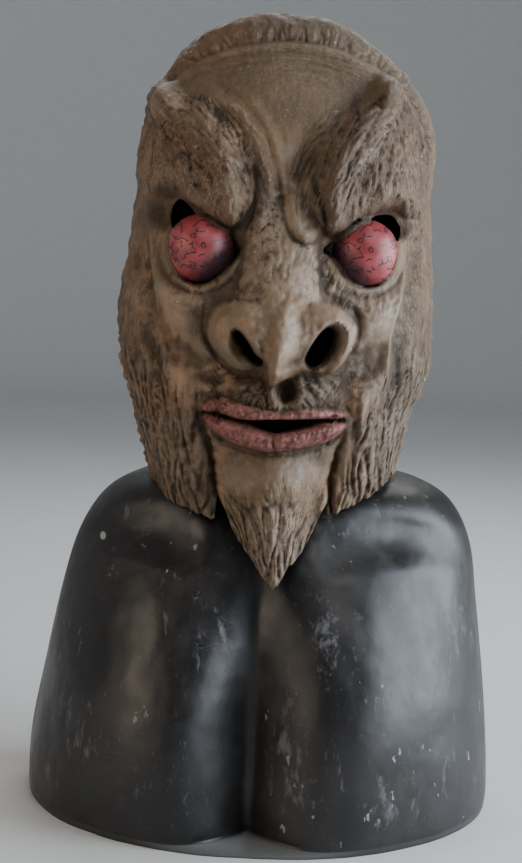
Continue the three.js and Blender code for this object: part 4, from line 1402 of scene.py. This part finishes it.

# %% [markdown]
# ## Finish of the eyes
#
# Under a clear glaze each ball is painted a mottled red, with painted shade that darkens it below and towards
# the nose. Short dark brush marks are scattered over it: crossed and bent strokes, and a few small rings.
# They are drawn one to a cell of a flat pattern on the ball's front, at random angles, so that none is a
# sign.

# %% Brush marks


def brush_marks(finish, place, cell, wide, long):
    """Random figures of one or two strokes or a ring, one to a cell: 1 in a stroke, 0 off it. Sizes in mm."""
    edge = wide * 0.6

    def level(pattern, centre=(0.5, 0.5, 0.5), size=(1, 1, 0)):
        return finish.vector("MULTIPLY", finish.vector("SUBTRACT", pattern, centre), size)

    def band(value, half):
        return abs(value).from_to(half - edge, half + edge, 1, 0)

    bend = level(finish.noise(place, 0.22, 1).other("Color"), size=(3.5, 3.5, 0))
    bent = finish.vector("ADD", place, bend)
    figure = finish.node("ShaderNodeTexVoronoi", {"voronoi_dimensions": "2D"}, {
        "Vector": bent, "Scale": 1 / cell, "Randomness": 0.75,
    }, "Distance")
    chance = finish.node("ShaderNodeSeparateColor", {}, {"Color": figure.other("Color")}, "Red")
    blue = chance.other("Blue")
    from_middle = level(bent, figure.other("Position"))
    lean = finish.vector("NORMALIZE", level(figure.other("Color")))
    across = finish.vector("DOT_PRODUCT", from_middle, lean)
    along = finish.vector("DOT_PRODUCT", from_middle, finish.vector("CROSS_PRODUCT", lean, (0, 0, 1)))
    stroke = band(across, wide) * band(along, long)
    second = band(along - long * 0.6, wide)
    second = second * abs(across - long * 0.45).from_to(long * 0.5, long * 0.5 + edge, 1, 0)
    ring = band(finish.vector("LENGTH", from_middle) - long * 0.62, wide) * blue.from_to(0.88, 0.89)
    two = stroke.most(second * chance.other("Green").from_to(0.35, 0.36)) * blue.from_to(0.70, 0.71, 1, 0)
    return two.most(ring) * chance.from_to(0.12, 0.13)


# %% Painted resin under a glaze
for (name, (*_, er)), eye in zip(EYES.items(), eyes):
    resin = Finish(f"glazed resin {name}", Roughness=0.46, Coat_Weight=0.1, Coat_Roughness=0.3)
    gaze = resin.attribute("gaze", "Vector")
    marks = brush_marks(resin, gaze, 5.4, 0.5, 2.4)
    apart = resin.node("ShaderNodeSeparateXYZ", {}, {"Vector": gaze}, "X")
    inner = apart * (-SIDES[name] / er)
    low = apart.other("Y") * (-1 / er)
    # painted shade: each ball darkens below and towards the nose
    ball_shade = (low * 0.75 + inner + resin.noise(gaze, 0.045, 2) * 0.5).from_to(0.40, 1.15)
    red = resin.mix(resin.noise(gaze, 0.08, 3).from_to(0.3, 0.7), (0.19, 0.020, 0.024), (0.35, 0.060, 0.062))
    red = resin.mix(ball_shade * 0.92, red, (0.030, 0.016, 0.026))
    red = resin.mix(marks * 0.95, red, (0.010, 0.004, 0.012))
    eye.data.materials.append(resin.set(Base_Color=red))

# %% [markdown]
# ## Finish of the bust
#
# The bust is sprayed black and was polished once. Handling has left it with dull patches, fine dust, fine
# scratches and small chips where pale filler shows. The top of its base plate is painted pale grey, most
# below the furrow.

# %% Old black gloss
black = Finish("old black gloss", IOR=1.5, Specular_IOR_Level=0.43)
on_bust = black.place()


def pattern(scale, detail, roughness=0.5, stretch=None, distortion=0.0):
    return black.noise(on_bust, scale, detail, roughness, stretch, distortion)


haze = pattern(7, 4, 0.6).from_to(0.35, 0.65)
smears = pattern(24, 4, 0.65, (1, 1, 0.6))
chips = pattern(85, 3, 0.7, (1, 1, 0.55)).from_to(0.655, 0.69) * pattern(9, 2).from_to(0.46, 0.60)
scuffs = pattern(62, 5, 0.75, (1, 1, 0.45), 0.4).from_to(0.60, 0.68) * pattern(11, 2).from_to(0.44, 0.58)
wear = black.attribute("wear")
peeled = pattern(90, 6, 0.75, (1, 1, 0.45), 0.3) + wear * 0.10 + pattern(24, 2) * 0.3
peeled = peeled.from_to(0.735, 0.90) * wear.from_to(0.02, 0.4)
scratch = abs(pattern(30, 2, 0.5, (9, 9, 0.7), 0.2) - 0.5).from_to(0.0, 0.006, 1, 0)
scratch = scratch * pattern(20, 2).from_to(0.56, 0.66)
rub = abs(pattern(22, 3, 0.6, (0.8, 0.8, 9), 0.3) - 0.5).from_to(0.0, 0.010, 1, 0)
rub = rub * pattern(13, 2).from_to(0.60, 0.70)
dust = pattern(480, 2).from_to(0.60, 0.80)

PLATE_TOP = 0.0045
DOT_X = -0.1208
DOT_Z = 0.207
DOT_RADIUS = 0.0028
bust_x = black.node("ShaderNodeSeparateXYZ", {}, {"Vector": on_bust}, "X")
bust_z = bust_x.other("Z")
# the top of the base plate is painted pale grey, most near the middle
on_plate = bust_z.from_to(PLATE_TOP, PLATE_TOP + 0.001, 1, 0)
on_plate = on_plate * (0.25 + abs(bust_x).from_to(0.05, 0.09, 0.75, 0))
from_dot = ((bust_x - DOT_X) ** 2 + (bust_z - DOT_Z) ** 2) ** 0.5
dot = from_dot.from_to(DOT_RADIUS - 0.0006, DOT_RADIUS, 1, 0) * bust_x.other("Y").from_to(0, 0.01, 1, 0)

coat = black.mix(haze, (0.0045, 0.0042, 0.0043), (0.014, 0.0125, 0.0120))
for share, colour in (
    (smears.from_to(0.50, 0.72) * 0.4, (0.036, 0.029, 0.024)),
    (scuffs * 0.45, (0.115, 0.108, 0.108)),
    (peeled * 0.6, (0.140, 0.137, 0.145)),
    (scratch.most(rub) * 0.2, (0.16, 0.16, 0.165)),
    (dust * 0.08, (0.30, 0.29, 0.28)),
    (chips * 0.75, (0.30, 0.27, 0.25)),
    (on_plate * 0.8, (0.10, 0.105, 0.105)),
    (dot * 0.8, (0.33, 0.36, 0.35)),
):
    coat = black.mix(share, coat, colour)
dull = smears.from_to(0.38, 0.68, 0.33, 0.50) + chips * 0.3 + scuffs * 0.15 + peeled * 0.22 + on_plate * 0.2
dents = pattern(34, 2) * 0.5 + pattern(110, 2) * 0.10 - chips * 0.12 - scuffs * 0.05 - peeled * 0.06
bust.data.materials.append(black.set(
    Base_Color=coat, Roughness=dull, Normal=black.bump(dents, 0.004, 0.35),
))
